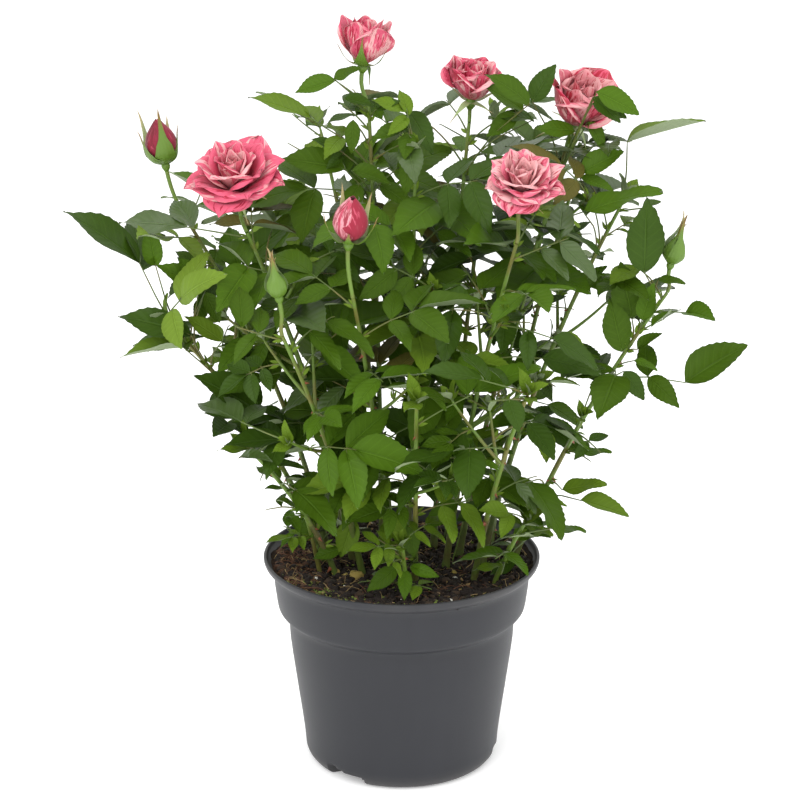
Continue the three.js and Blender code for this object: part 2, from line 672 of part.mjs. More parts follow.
function buildFlower(flower) {
  const { width, height, open } = flower;
  const [x, y, z] = flowerFrame(flower);
  const solids = [];
  const low = -height * 0.5;
  const bud = open < 0.1;
  const lathe = (pairs, sides) => new THREE.LatheGeometry(
    pairs.map(([r, h]) => new THREE.Vector2(r, h)), sides,
  ).rotateX(Math.PI / 2);
  const add = (geometry) => solids.push(toSolid(placeAt(geometry, x, y, z, vec(flower.at))));
  if (bud) {
    add(lathe([[0, low - 5], [2.6, low - 1.5], [width * 0.48, low + height * 0.3],
      [width * 0.44, low + height * 0.6], [0, low + height]], 7));
  } else {
    add(rosette(width, height, open));
  }
  if (open < 0.5) {
    for (let k = 0; k < 5; k += 1) {
      const turn = (2 * Math.PI * (k + 0.3)) / 5;
      const rise = bud ? SEPAL.budRise : mix(0.7, -0.5, open * 2);
      const line = new THREE.Vector3(
        Math.cos(turn) * Math.cos(rise), Math.sin(turn) * Math.cos(rise), Math.sin(rise),
      );
      const face = new THREE.Vector3(
        -Math.cos(turn) * Math.sin(rise), -Math.sin(turn) * Math.sin(rise), Math.cos(rise),
      );
      const length = bud ? height * 1.02 : SEPAL.length;
      const foot = new THREE.Vector3(0, 0, low - 3).addScaledVector(line, 1);
      add(sepalShape({ foot, line, face, length }));
    }
  }
  return solids;
}

// ---------------------------------------------------------------- putting it together

const group = new THREE.Group();
group.name = 'potted_rose_bush';

const { pot, pockets } = buildPot();
group.add(toMesh('pot', pot, COLOUR.pot, 0.5));
group.add(toMesh('soil', buildSoil(pockets), COLOUR.soil, 0.95));

const plants = [
  ...CANES.map((cane) => ({ ...cane, bough: true })),
  ...SHOOTS.map((cane) => ({ ...cane, bough: false })),
];

// canes and stems first, so that leaves keep clear of every one of them
for (const plant of plants) {
  plant.grown = grow(plant);
  const { path } = plant.grown;
  const length = path.getLength();
  const start = plant.bough ? plant.bare + GAP / length : 0;
  const stemFoot = plant.bough ? Math.min(TWIG.footRadius, plant.radius) : plant.radius;
  if (plant.bough) {
    const flare = (s) => mix(plant.radius, CANE.tipRadius + 0.4, s) * (s < 0.01 ? CANE.flare : 1);
    plant.caneSolid = toSolid(limb(path, 0, plant.bare, flare, CANE.sides, CANE.rings));
    for (let k = 0; k < CANE.rings; k += 1) {
      const at = (s) => plant.bare * s;
      take([convex(limb(path, at(k / CANE.rings), at((k + 1) / CANE.rings),
        (s) => flare((k + s) / CANE.rings), CANE.sides, 1))], `cane_${plant.name}`);
    }
  }
  plant.stem = limb(path, start, 1, (s) => mix(stemFoot, TWIG.tipRadius, s), TWIG.sides, 4);
  for (let k = 0; k < 4; k += 1) {
    const a = mix(start, 1, k / 4);
    const b = mix(start, 1, (k + 1) / 4);
    take([convex(limb(path, a, b, () => stemFoot, 4, 1))], `leaves_${plant.name}`);
  }
}

// stalks and flowers
for (const flower of FLOWERS) {
  const plant = plants.find((item) => item.name === flower.on);
  const { path } = plant.grown;
  const tangent = path.getTangentAt(1);
  const foot = path.getPointAt(1).addScaledVector(tangent, GAP);
  const head = flowerFoot(flower);
  const span = foot.distanceTo(head);
  const stalk = new THREE.CubicBezierCurve3(
    foot,
    foot.clone().addScaledVector(tangent, span * 0.4),
    head.clone().addScaledVector(vec(flower.faces).normalize(), -span * 0.35),
    head.clone().addScaledVector(vec(flower.faces).normalize(), 2),
  );
  const geometry = limb(stalk, 0, 1, (s) => mix(STALK.footRadius, STALK.tipRadius, s), STALK.sides, 4);
  const solids = buildFlower(flower);
  solids.push(toSolid(geometry));
  flower.solid = joined(solids);
  for (let k = 0; k < 4; k += 1) {
    take([convex(limb(stalk, k / 4, (k + 1) / 4, () => STALK.footRadius, 4, 1))], flower.name);
  }
  const wide = flower.width * 0.64;
  const shell = new THREE.IcosahedronGeometry(1, 0).scale(wide, wide, flower.height * 0.66 + 2);
  take([convex(placeAt(shell, ...flowerFrame(flower), vec(flower.at)))], flower.name);
}

// side shoots, as far as each finds room
for (const plant of plants) {
  const owner = `leaves_${plant.name}`;
  plant.solids = [toSolid(plant.stem)];
  plant.leaves = 0;
  plant.grown.twigs = plant.grown.twigs.filter(({ curve }) => {
    const shapes = [0, 0.5].map((s) => convex(limb(curve, s, s + 0.5, () => TWIG.footRadius, 4, 1)));
    const fits = (shape) => clearOfPot(shape) && isFree(shape, (other) => other === owner);
    if (!shapes.every(fits)) return false;
    plant.solids.push(toSolid(
      limb(curve, 0, 1, (s) => mix(TWIG.footRadius, TWIG.tipRadius, s), TWIG.sides, 2),
    ));
    take(shapes, owner);
    return true;
  });
}

// The leaflets of a leaf that find room, or none where its stalk has no room.
function roomFor(leaf, owner) {
  const [start, fork, end] = leaf.rachis;
  const bars = [[start, fork], [fork, end]].map(([a, b]) => convex(strut(a, b, 1.25)));
  const near = (other) => other === owner;
  if (!clearOfPot(bars[1]) || !isFree(bars[0], near) || !isFree(bars[1], () => false)) return null;
  const blades = leaf.blades.filter((blade) => {
    const faces = leafletFaces(leafletCorners(leaf, blade));
    blade.shape = convex(new THREE.BufferGeometry().setFromPoints(faces));
    return clearOfPot(blade.shape) && isFree(blade.shape, () => false);
  });
  return { leaf, bars, blades };
}

function settle(plant, found) {
  take([...found.bars, ...found.blades.map((blade) => blade.shape)], `leaf_${plant.name}_${plant.leaves}`);
  plant.solids.push(toSolid(compoundShape(found.leaf, found.blades)));
  plant.leaves += 1;
  leafletCount += found.blades.length;
}

// leaves: those that reach out first, then every slot as far as it finds room
let leafletCount = 0;
for (const plant of plants) {
  for (const leaf of plant.grown.reaching) {
    const found = roomFor(leaf, `leaves_${plant.name}`);
    if (found && found.blades.length) settle(plant, found);
  }
}
for (const plant of plants) {
  const slots = [...plant.grown.slots, ...plant.grown.twigs.flatMap((twig) => twig.slots)];
  slots.forEach((slot, number) => {
    let best = null;
    for (let attempt = 0; attempt < LEAF.tries; attempt += 1) {
      const leaf = leafAt(slot, plant.seed * 1009 + number, attempt);
      const found = leaf && roomFor(leaf, `leaves_${plant.name}`);
      if (found && found.blades.length > (best ? best.blades.length : 1)) best = found;
      if (best && best.blades.length === best.leaf.blades.length) break;
    }
    if (best) settle(plant, best);
  });
  plant.mass = joined(plant.solids);
}

for (const plant of plants) {
  if (plant.caneSolid) group.add(toMesh(`cane_${plant.name}`, plant.caneSolid, COLOUR.cane, 0.6));
  group.add(toMesh(`leaves_${plant.name}`, plant.mass, COLOUR.leaf, 0.55));
}
for (const flower of FLOWERS) {
  const colour = flower.open < 0.1 ? COLOUR.bud : COLOUR.rose;
  group.add(toMesh(flower.name, flower.solid, colour, 0.6));
}

export default group;
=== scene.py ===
import functools
import json
import math
from collections import namedtuple

import bmesh
import bpy
import numpy as np
from mathutils import Matrix, Vector, noise

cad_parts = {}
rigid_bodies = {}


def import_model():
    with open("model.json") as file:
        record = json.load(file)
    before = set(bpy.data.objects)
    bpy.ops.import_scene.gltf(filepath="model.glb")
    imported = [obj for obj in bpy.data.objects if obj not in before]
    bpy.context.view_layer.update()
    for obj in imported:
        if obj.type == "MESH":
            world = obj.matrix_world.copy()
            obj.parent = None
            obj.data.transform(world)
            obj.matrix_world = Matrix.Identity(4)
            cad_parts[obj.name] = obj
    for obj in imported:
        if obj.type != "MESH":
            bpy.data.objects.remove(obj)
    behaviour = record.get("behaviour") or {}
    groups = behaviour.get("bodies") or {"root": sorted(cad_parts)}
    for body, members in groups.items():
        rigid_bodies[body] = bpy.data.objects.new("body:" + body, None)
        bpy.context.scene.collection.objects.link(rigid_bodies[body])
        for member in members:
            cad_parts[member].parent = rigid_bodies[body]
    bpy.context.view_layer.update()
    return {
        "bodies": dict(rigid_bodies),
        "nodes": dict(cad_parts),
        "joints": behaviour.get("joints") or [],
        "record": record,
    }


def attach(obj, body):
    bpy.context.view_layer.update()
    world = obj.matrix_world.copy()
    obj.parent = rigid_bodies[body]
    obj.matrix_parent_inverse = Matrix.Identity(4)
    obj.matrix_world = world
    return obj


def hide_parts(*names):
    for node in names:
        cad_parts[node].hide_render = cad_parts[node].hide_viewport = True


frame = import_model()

bl_info = {
    "name": "Potted patio rose",
    "version": (1, 0, 0),
    "blender": (4, 5, 0),
    "location": "View3D > Sidebar > Rose",
    "description": "Dresses the packed rose bush: pot, soil, canes, leaves and striped blooms",
    "category": "Object",
}

MM = 0.001

# ---- the plant's own sizes, in millimetres

GAP = 0.3
POT = {"height": 132, "wall": 1.9, "lip_radius": 85.3}
# the drain notches: start, end and slope are measured round the foot, at the radius called round
NOTCH = {
    "count": 3, "turn": -128, "round": 60, "start": (-11.5, -9.2), "end": (16, 11.5), "slope": (-9, 9),
    "roof": (8.4, 5.6), "edge": 2.6, "radius": 46.5, "below": 16, "outside": 30,
}
SOIL = {"level": 122, "heaped": 5.2, "flat_radius": 73, "edge": 77.6, "relief": 2.4}
CANE = {"sides": 6, "rings": 3, "flare": 1.35, "tip_radius": 1.35}
TWIG = {"foot_radius": 1.5, "tip_radius": 1.05}
LEAF = {
    "turn": 144, "step": 22.5, "small": 0.75, "small_step": 0.42, "reach": 96, "shrink": 0.84, "bow": 0.42,
    "terminal": 0.47, "width": 0.6, "widest": 0.42, "thickness": 0.024, "fork": 0.56, "upper_at": 0.76,
    "upper_pair": 0.82, "upper_spread": 62, "lower_pair": 0.66, "lower_spread": 74, "three": 0.3,
    "shoots": 1, "tries": 6, "out": 0.7, "front": 0.55,
}
CROWN = {
    "foot_height": 150, "foot_radius": 80, "flare": 0.46, "radius": 176, "depth": 1.12, "margin": 38,
    "top": 412,
}
LEAF_STALK = {"half": 0.8, "keel": 0.9, "root": 0.9}
# the radius of a flower's stalk, and the test shapes along one stem or flower stalk
FLOWER_STALK, BARS = 1.2, 4
# the finer growth that comes after the solids' own; clearing: the share of a leaflet kept out of openings
FINER = {"shoots": 3, "step": 0.8, "gap": -0.6, "chosen_gap": -8, "clearing": 0.7}
# its rows of leaves: their size, the top leaf's share of it, and the step between them
ROWS = {"stem": (0.85, 0.9, 1.6), "bare_part": (0.76, 1, 0.75), "low_shoot": (0.62, 1, 0.8)}
# a full turn in radians, rounded as directions and phases drawn by chance take it
ANY_WAY, ANY_PHASE = 6.283, 6.3
GOLDEN_ANGLE = math.radians(137.5)

Cane = namedtuple("Cane", "name foot tip lean bare radius seed size", defaults=(1,))
# at: how far along the cane; foot and tip: the end leaflet's; facing: how far it turns to the front
Reaching = namedtuple("Reaching", "at foot tip leaflets facing")
# width, height and open (0 for a bud, 1 for a full bloom) are the solids' own
Flower = namedtuple("Flower", "name cane at faces width height open look")
# how a bloom is made: its lift on the stalk, its size, a cup's petals (0 for a full bloom, less for a bud),
# its paint, its tilt back, how far its five sepals turn from its axis and the first one's direction, in
# degrees
Look = namedtuple("Look", "lift size petals paint tilt sepals first")
Blade = namedtuple("Blade", "foot line face length pair hand place")
Leaf = namedtuple("Leaf", "start arc fork end blades")
Slot = namedtuple("Slot", "start tangent turn share size top_share")
Grown = namedtuple("Grown", "cane leaf blades share chosen", defaults=(False,))

CANES = [
    Cane("top_rose", (-12, 14), (-19, 6, 402), 0.2, 0.24, 2.7, 157),
    Cane("right_top_rose", (20, 32), (40, 31, 392), 0.5, 0.27, 2.5, 129),
    Cane("right_high_rose", (36, 20), (100, 21, 382), 0.4, 0.26, 2.5, 13),
    Cane("left_rose", (-30, 8), (-88, -36, 340), 0.35, 0.26, 2.6, 138),
    Cane("left_bud", (-48, 34), (-124, 2, 336), 0.3, 0.28, 2.5, 15),
    Cane("right_rose", (27, -2), (64, -57, 338), 0.4, 0.26, 2.4, 16),
    Cane("front_bud", (-6, -8), (-27, -78, 312), 0.4, 0.3, 2.3, 177, 0.95),
    Cane("left_green_bud", (-24, -12), (-66, -84, 292), 0.4, 0.3, 2.2, 18, 0.95),
    Cane("right_outer", (68, 3), (157, 0, 296), 0.42, 0.22, 2.3, 187, 0.9),
    Cane("left_outer", (-48, 8), (-138, -22, 285), 0.3, 0.27, 2.4, 195),
    Cane("left_low", (-40, -14), (-92, -38, 214), 0.35, 0.35, 1.9, 301, 0.9),
    Cane("back", (-6, 44), (-52, 92, 384), 0.35, 0.26, 2.5, 108),
    Cane("back_right", (30, 52), (58, 98, 388), 0.35, 0.26, 2.4, 116),
    Cane("back_left", (-36, 52), (-100, 82, 324), 0.35, 0.26, 2.4, 223),
    Cane("back_right_outer", (56, 36), (112, 80, 362), 0.35, 0.27, 2.4, 204),
    Cane("upper_right", (50, 8), (134, 24, 350), 0.35, 0.28, 2.4, 152),
    Cane("front_right", (44, -20), (70, -92, 262), 0.4, 0.3, 2.2, 206, 0.95),
    Cane("front", (8, -24), (8, -104, 262), 0.4, 0.3, 2.2, 28, 0.95),
    Cane("middle", (4, 12), (8, -10, 384), 0.5, 0.25, 2.4, 106),
]
SHOOTS = [
    Cane("low_front", (3, -44), (0, -58, 160), 0.5, 0.1, 1.5, 41, 0.5),
    Cane("low_left", (-50, -10), (-60, -20, 172), 0.5, 0.2, 1.5, 247, 0.62),
    Cane("low_right", (56, -26), (74, -40, 168), 0.5, 0.2, 1.5, 240, 0.6),
]
# leaves placed one by one, each row a Reaching, the same as in the solids' source, but that the first on
# upper_right turns a little away from the front
REACHING = {
    "left_outer": (
        (0.94, (-152, -18, 318), (-196, -20, 347), 3, 0.3),
        (0.8, (-120, -30, 275), (-162, -34, 294), 5, 0.4),
        (0.55, (-84, -40, 235), (-122, -46, 256), 3, 0.5),
    ),
    "left_low": (
        (0.9, (-68, -44, 219), (-103, -50, 215), 3, 0.35), (0.6, (-44, -40, 188), (-68, -46, 189), 3, 0.3),
    ),
    "right_outer": (
        (0.66, (169, -8, 243), (203, -12, 269), 5, 0.45), (0.3, (97, -10, 176), (124, -14, 180), 3, 0.4),
        (0.24, (108, -12, 170), (138, -18, 165), 3, 0.3), (0.18, (94, -16, 164), (108, -26, 153), 3, 0.7),
        (0.94, (141, -14, 312), (140, -18, 358), 1, 1),
    ),
    "upper_right": (
        (0.97, (133, 22, 382), (180, 26, 392), 3, -0.3), (0.84, (105, -14, 347), (149, -18, 363), 5, 0.3),
    ),
    "right_high_rose": (
        (0.96, (80, 24, 398), (83, 26, 426), 3, 0.8), (0.99, (118, 8, 404), (140, 2, 400), 3, 0.4),
    ),
    "top_rose": (
        (0.88, (-53, 8, 398), (-88, 6, 413), 5, 0.25), (0.96, (-34, 0, 424), (-57, -2, 427), 3, 0.4),
    ),
    "right_top_rose": ((0.9, (-1, 12, 405), (38, 6, 411), 3, 0.5),),
}
# finer ones that fill out the crown's edge: under the blooms, at the top and down both sides
FILLING = {
    "top_rose": (
        (0.92, (-28, -4, 399), (-29, -8, 380), 1, 0.9), (0.82, (-29, -6, 370), (-6, -10, 365), 1, 0.6),
        (0.85, (-36, 4, 380), (-52, 0, 389), 3, 0.5), (0.8, (-33, 0, 370), (-70, -4, 378), 5, 0.5),
        (1.0, (-38, 0, 421), (-62, -2, 416), 1, 0.7), (0.99, (-39, 0, 422), (-23, -2, 428), 1, 0.7),
        (0.99, (-33, -3, 411), (-16, -5, 406), 1, 0.5), (0.98, (-15, -4, 405), (-1, -6, 411), 1, 0.9),
    ),
    "middle": (
        (0.97, (3, -6, 404), (-17, -10, 413), 3, 0.6), (0.93, (4, -8, 395), (-18, -12, 388), 3, 0.5),
        (0.9, (6, -14, 382), (1, -18, 357), 1, 0.9), (0.2, (34, -12, 170), (13, -16, 152), 1, 0.8),
    ),
    "right_top_rose": (
        (0.95, (71, 20, 401), (46, 16, 415), 3, 0.6), (0.9, (77, 22, 395), (53, 18, 397), 1, 0.5),
        (0.88, (73, -4, 408), (49, -10, 428), 1, 0.7),
    ),
    "right_high_rose": (
        (0.93, (76, 14, 407), (89, 12, 429), 1, 0.9), (0.9, (101, 14, 390), (78, 10, 392), 1, 0.8),
        (0.92, (108, 8, 396), (118, 4, 380), 1, 0.7), (0.99, (109, -8, 409), (128, -12, 400), 1, 0.7),
        (0.99, (113, -6, 415), (136, -10, 404), 1, 0.5), (0.9, (108, -18, 414), (126, -20, 401), 1, 0.9),
        (0.88, (110, -18, 417), (135, -20, 405), 1, 0.6),
    ),
    "upper_right": (
        (0.9, (105, 6, 367), (129, 2, 380), 1, 0.7), (0.86, (104, 4, 364), (124, 0, 358), 1, 0.4),
    ),
    "right_outer": (
        (0.85, (151, -2, 304), (167, -6, 305), 1, 0.5), (0.84, (142, -6, 281), (148, -10, 304), 1, 0.8),
        (0.82, (137, 2, 280), (128, -2, 316), 1, 0.9), (0.8, (131, -4, 261), (123, -8, 295), 1, 0.8),
        (0.78, (140, -6, 263), (154, -10, 274), 1, 0.6), (0.72, (138, -6, 256), (152, -10, 251), 1, 0.5),
        (0.66, (132, -8, 250), (144, -12, 233), 1, 0.8), (0.58, (131, -10, 242), (115, -14, 224), 1, 0.8),
        (0.1, (68, -8, 144), (86, -6, 154), 1, 0.8), (0.08, (76, -10, 138), (82, -16, 126), 1, 0.8),
    ),
    "left_low": (
        (0.3, (-47, -12, 164), (-62, -16, 143), 1, 0.8), (0.2, (-35, -18, 142), (-54, -22, 136), 1, 0.5),
    ),
    "front_bud": ((0.2, (-29, -18, 161), (-37, -22, 137), 1, 0.9),),
    "front": (
        (0.2, (3, -42, 168), (7, -44, 146), 1, 0.9), (0.1, (-3, -48, 141), (-20, -60, 131), 1, 0.8),
        (0.1, (2, -50, 140), (2, -66, 129), 1, 0.7), (0.1, (5, -48, 141), (22, -54, 138), 1, 0.8),
        (0.12, (-3, -46, 144), (-13, -44, 155), 1, 0.8),
    ),
    "right_rose": ((0.2, (53, -8, 168), (33, -10, 156), 1, 0.8),),
    "front_right": ((0.12, (69, -20, 135), (53, -26, 128), 1, 0.8),),
    "left_outer": (
        (0.92, (-143, -16, 316), (-146, -20, 342), 1, 0.8),
        (0.88, (-114, -20, 302), (-143, -24, 317), 1, 0.6),
        (0.85, (-117, -20, 306), (-130, -24, 323), 1, 0.8),
        (0.8, (-122, -30, 278), (-163, -34, 294), 1, 0.6),
        (0.78, (-104, -32, 275), (-124, -36, 292), 1, 0.6),
        (0.72, (-127, -28, 270), (-164, -32, 270), 3, 0.2),
        (0.86, (-114, -24, 302), (-105, -28, 285), 1, 0.8),
    ),
}
# where the crown stays open to the sky, seen from the front, and where it ends: x, z and radius
OPENINGS = (
    (139, 373, 11), (104, 279, 11), (-5, 427, 9), (-118, 385, 8), (-149, 296, 8), (27, 395, 7),
    (166, 272, 5), (13, 420, 7), (107, 228, 8), (-67, 394, 7), (-119, 251, 7), (110, 159, 7), (-43, 355, 5),
    (159, 337, 5), (118, 335, 6), (116, 187, 6), (-33, 416, 5), (-89, 386, 5), (66, 424, 4), (134, 398, 4),
    (-131, 288, 4), (146, 234, 3), (74, 198, 5), (-76, 381, 4), (-8, 228, 5), (96, 186, 5), (-105, 277, 4),
    (90, 247, 4), (75, 231, 4), (-57, 189, 4), (82, 180, 4), (45, 271, 4), (54, 230, 3), (-72, 232, 4),
    (80, 273, 4), (127, 326, 4), (-138, 315, 4), (-151, 214, 30), (-114, 179, 22), (-84, 154, 12),
    (-138, 247, 12), (-174, 300, 12), (50, 113, 5), (28, 107, 6), (20, 102, 5), (-40, 119, 6),
    (-28, 117, 6), (-22, 107, 5), (62, 106, 5), (76, 111, 7), (167, 348, 10), (182, 297, 10), (198, 222, 8),
    (138, 190, 13), (97, 134, 10), (-96, 405, 7), (168, 381, 7),
)
# where the openings and the blooms are seen from
FRONT_VIEW = (-1.3, -1127, 570)
FLOWERS = [
    Flower("rose_top", "top_rose", (-21, 5, 441), (0.12, -0.1, 1), 35, 36, 0.35,
           Look(8, 0.82, 11, "striped", 0, (39, 30, 158, 26, 38), -96)),
    Flower("rose_right_top", "right_top_rose", (42, 30, 416), (0.1, -0.3, 1), 38, 28, 0.6,
           Look(4, 0.96, 15, "striped", 0, (60, 75, 50, 110, 80), 20)),
    Flower("rose_right_high", "right_high_rose", (106, 20, 408), (0.3, -0.5, 1), 46, 36, 0.6,
           Look(0, 1, 14, "vivid", 0, (120, 60, 140, 80, 100), -160)),
    Flower("rose_left", "left_rose", (-93, -40, 366), (-0.05, -0.75, 1), 60, 38, 1,
           Look(16, 0.88, 0, "rosy", 9, (120, 105, 135, 95, 125), -70)),
    Flower("rose_right", "right_rose", (66, -60, 368), (0.05, -0.9, 1), 49, 34, 0.85,
           Look(15, 0.82, 0, "pale", 9, (95, 120, 80, 130, 100), -40)),
    Flower("rose_front", "front_bud", (-28, -80, 354), (0.1, -0.25, 1), 24, 27, 0.2,
           Look(4, 1.04, -7, "deep", 0, (8, 30, 22, 6, 34), -92)),
    Flower("bud_left", "left_bud", (-139, 0, 385), (-0.15, 0, 1), 16, 25, 0,
           Look(2, 1.08, -8, "dark", 0, (2, 14, 10, 12, 20), -75)),
    Flower("bud_green", "left_green_bud", (-68, -85, 318), (-0.15, -0.1, 1), 11, 22, 0,
           Look(9, 1, -8, "closed", 0, (0, 3, 0, 2, 4), -80)),
    Flower("bud_right", "right_outer", (161, 0, 323), (0.25, -0.05, 1), 11, 24, 0,
           Look(4, 1.05, -8, "closed", 0, (0, 0, 0, 0, 0), -80)),
]


# ---- small numbers

UP = np.array([0.0, 0.0, 1.0])
FRONT = np.array([0.0, -1.0, 0.0])


def vec(*values):
    return np.array(values, float)


def cross(a, b):
    return vec(a[1] * b[2] - a[2] * b[1], a[2] * b[0] - a[0] * b[2], a[0] * b[1] - a[1] * b[0])


def size_of(v):
    return math.sqrt(v[0] * v[0] + v[1] * v[1] + v[2] * v[2])


def unit(v):
    return v / (size_of(v) or 1.0)


def mix(a, b, t):
    return a + (b - a) * t


def smooth(low, high, x):
    t = np.clip((x - low) / (high - low), 0.0, 1.0)
    return t * t * (3 - 2 * t)


def seeded(seed):
    """A repeatable stream of numbers from 0 to 1, the same as the solids were grown with."""
    whole = 0xFFFFFFFF
    state = seed & whole

    def draw():
        nonlocal state
        state = (state + 0x6D2B79F5) & whole
        t = state
        t = ((t ^ (t >> 15)) * (t | 1)) & whole
        t ^= (t + ((t ^ (t >> 7)) * (t | 61))) & whole
        return ((t ^ (t >> 14)) & whole) / 4294967296

    return draw


class Path:
    """A straight, quadratic or cubic curve, measured along its length in steps."""

    STEPS = 200

    def __init__(self, *points):
        self.points = np.array(points, float)
        along = self.at(np.linspace(0, 1, self.STEPS + 1))
        steps = np.sqrt((np.diff(along, axis=0) ** 2).sum(1))
        self.lengths = np.concatenate([[0.0], np.cumsum(steps)])
        self.length = self.lengths[-1]

    def at(self, t):
        t = np.asarray(t, float)[..., None]
        p = self.points
        if len(p) == 2:
            return p[0] + (p[1] - p[0]) * t
        s = 1 - t
        if len(p) == 3:
            return s * s * p[0] + 2 * s * t * p[1] + t * t * p[2]
        return s**3 * p[0] + 3 * s * s * t * p[1] + 3 * s * t * t * p[2] + t**3 * p[3]

    def share(self, u):
        return np.interp(np.asarray(u) * self.length, self.lengths, np.linspace(0, 1, self.STEPS + 1))

    def point(self, u):
        return self.at(self.share(u))

    def tangent(self, u):
        t = self.share(u)
        return unit(self.at(min(t + 1e-4, 1.0)) - self.at(max(t - 1e-4, 0.0)))


def across(tangent):
    """Two directions square to a tangent, the first as level as it can be."""
    side = vec(-tangent[1], tangent[0], 0)
    if size_of(side) < 1e-3:
        side = vec(1, 0, 0)
    side = unit(side)
    return side, cross(tangent, side)


def away_from(tangent, turn):
    """A direction square to a tangent, turned so far round it."""
    u, v = across(tangent)
    return u * math.cos(turn) + v * math.sin(turn)


# ---- keeping shapes apart

MOST_CORNERS, MOST_SHAPES = 12, 20000


class Convex:
    """A convex shape for the test: its corners, face normals and edge directions."""

    def __init__(self, corners, faces, edges):
        self.corners = corners
        a, b, c = (corners[faces[:, k]] for k in range(3))
        normals = np.cross(b - a, c - a)
        edges = corners[edges[:, 0]] - corners[edges[:, 1]]
        self.normals, self.edges = (
            v[n > 1e-6] / n[n > 1e-6, None]
            for v, n in ((v, np.sqrt((v * v).sum(1))) for v in (normals, edges))
        )
        self.centre = corners.mean(0)
        self.radius = math.sqrt(((corners - self.centre) ** 2).sum(1).max())
        pad = np.repeat(corners[:1], MOST_CORNERS - len(corners), 0)
        self.padded = np.concatenate([corners, pad])


def parted(axes, a, b, gap):
    """True where one of these axes shows a clear gap between two sets of corners."""
    pa, pb = a @ axes.T, b @ axes.T
    return bool(((pb.min(0) - pa.max(0) > gap) | (pa.min(0) - pb.max(0) > gap)).any())


def apart(a, b, gap):
    """Whether a stays clear of b, once a's own faces have shown no gap."""
    if parted(b.normals, a.corners, b.corners, gap):
        return True
    axes = np.cross(a.edges[:, None], b.edges[None]).reshape(-1, 3)
    sizes = np.sqrt((axes * axes).sum(1))
    axes = axes[sizes > 1e-3] / sizes[sizes > 1e-3, None]
    return parted(axes, a.corners, b.corners, gap)


class Room:
    """What stands already, and whether a new shape finds room beside it."""

    def __init__(self):
        self.count = 0
        self.shapes, self.owners = [], []
        self.centres = np.zeros((MOST_SHAPES, 3))
        self.radii = np.zeros(MOST_SHAPES)
        self.stack = np.zeros((MOST_SHAPES, MOST_CORNERS, 3))

    def take(self, shapes, owner):
        for shape in shapes:
            n = self.count
            self.centres[n], self.radii[n], self.stack[n] = shape.centre, shape.radius, shape.padded
            self.shapes.append(shape)
            self.owners.append(owner)
            self.count += 1

    def free(self, shape, excused=None, gap=GAP):
        n = self.count
        away = self.centres[:n] - shape.centre
        reach = self.radii[:n] + shape.radius + gap
        near = np.nonzero((away * away).sum(1) <= reach * reach)[0]
        if excused is not None:
            near = np.array([k for k in near if self.owners[k] != excused], int)
        if not len(near):
            return True
        own = shape.corners @ shape.normals.T
        other = self.stack[near] @ shape.normals.T
        clear = (other.min(1) - own.max(0) > gap) | (own.min(0) - other.max(1) > gap)
        return all(apart(shape, self.shapes[k], gap) for k in near[~clear.any(1)])


def bar(path, start, end, radius_at, sides):
    """The test shape of one stretch of a limb."""
    rings = []
    turns = 2 * math.pi * np.arange(sides) / sides
    for share in (0.0, 1.0):
        place = mix(start, end, share)
        centre, tangent = path.point(place), path.tangent(place)
        u, v = across(tangent)
        if centre[2] < SOIL["level"] + 2 * GAP:
            v = cross(UP, u)
        rings.append(centre + radius_at(share) * (np.outer(np.sin(turns), u) - np.outer(np.cos(turns), v)))
    return Convex(np.concatenate(rings), *bar_topology(sides))


@functools.lru_cache(None)
def bar_topology(sides):
    faces, edges = [], []
    for k in range(sides):
        a, b = k, (k + 1) % sides
        faces += [(a, b, sides + b), (a, sides + b, sides + a)]
        edges += [(a, b), (sides + a, sides + b), (a, sides + a), (b, sides + a)]
    faces += [(0, 1, 2), (sides, sides + 1, sides + 2)]
    edges += [(0, sides // 2), (1, 1 + sides // 2)]
    return np.array(faces), np.array(edges)


GOLDEN = (1 + math.sqrt(5)) / 2
SHELL_CORNERS = np.array([
    (-1, GOLDEN, 0), (1, GOLDEN, 0), (-1, -GOLDEN, 0), (1, -GOLDEN, 0), (0, -1, GOLDEN), (0, 1, GOLDEN),
    (0, -1, -GOLDEN), (0, 1, -GOLDEN), (GOLDEN, 0, -1), (GOLDEN, 0, 1), (-GOLDEN, 0, -1), (-GOLDEN, 0, 1),
]) / math.hypot(1, GOLDEN)
SHELL_FACES = np.array([
    (0, 11, 5), (0, 5, 1), (0, 1, 7), (0, 7, 10), (0, 10, 11), (1, 5, 9), (5, 11, 4), (11, 10, 2), (10, 7, 6),
    (7, 1, 8), (3, 9, 4), (3, 4, 2), (3, 2, 6), (3, 6, 8), (3, 8, 9), (4, 9, 5), (2, 4, 11), (6, 2, 10),
    (8, 6, 7), (9, 8, 1),
])


def edges_of(faces):
    return np.array(sorted({tuple(sorted(pair)) for f in faces for pair in zip(f, np.roll(f, 1))}))


# a leaflet's corners: first, right, tip, left, last, keel, under
LEAFLET_FACES = np.array([
    (0, 1, 2), (0, 2, 4), (4, 2, 3), (6, 1, 0), (6, 2, 1), (6, 3, 2), (6, 4, 3), (6, 5, 4), (6, 0, 5),
])
LEAFLET_EDGES = edges_of(LEAFLET_FACES)
# places along a leaflet and half its width there, both as shares of its length
LEAFLET_SPOTS = ((0.15, 0.12), (0.4, 0.22), (0.65, 0.2), (0.92, 0.05))


# ---- growing by rule


def cane_path(cane):
    foot = vec(cane.foot[0], cane.foot[1], SOIL["level"] + GAP)
    tip = vec(*cane.tip)
    early = cane.lean * 0.8
    bend = vec(mix(foot[0], tip[0], early), mix(foot[1], tip[1], early), mix(foot[2], tip[2], 0.5))
    return Path(foot, bend, tip)


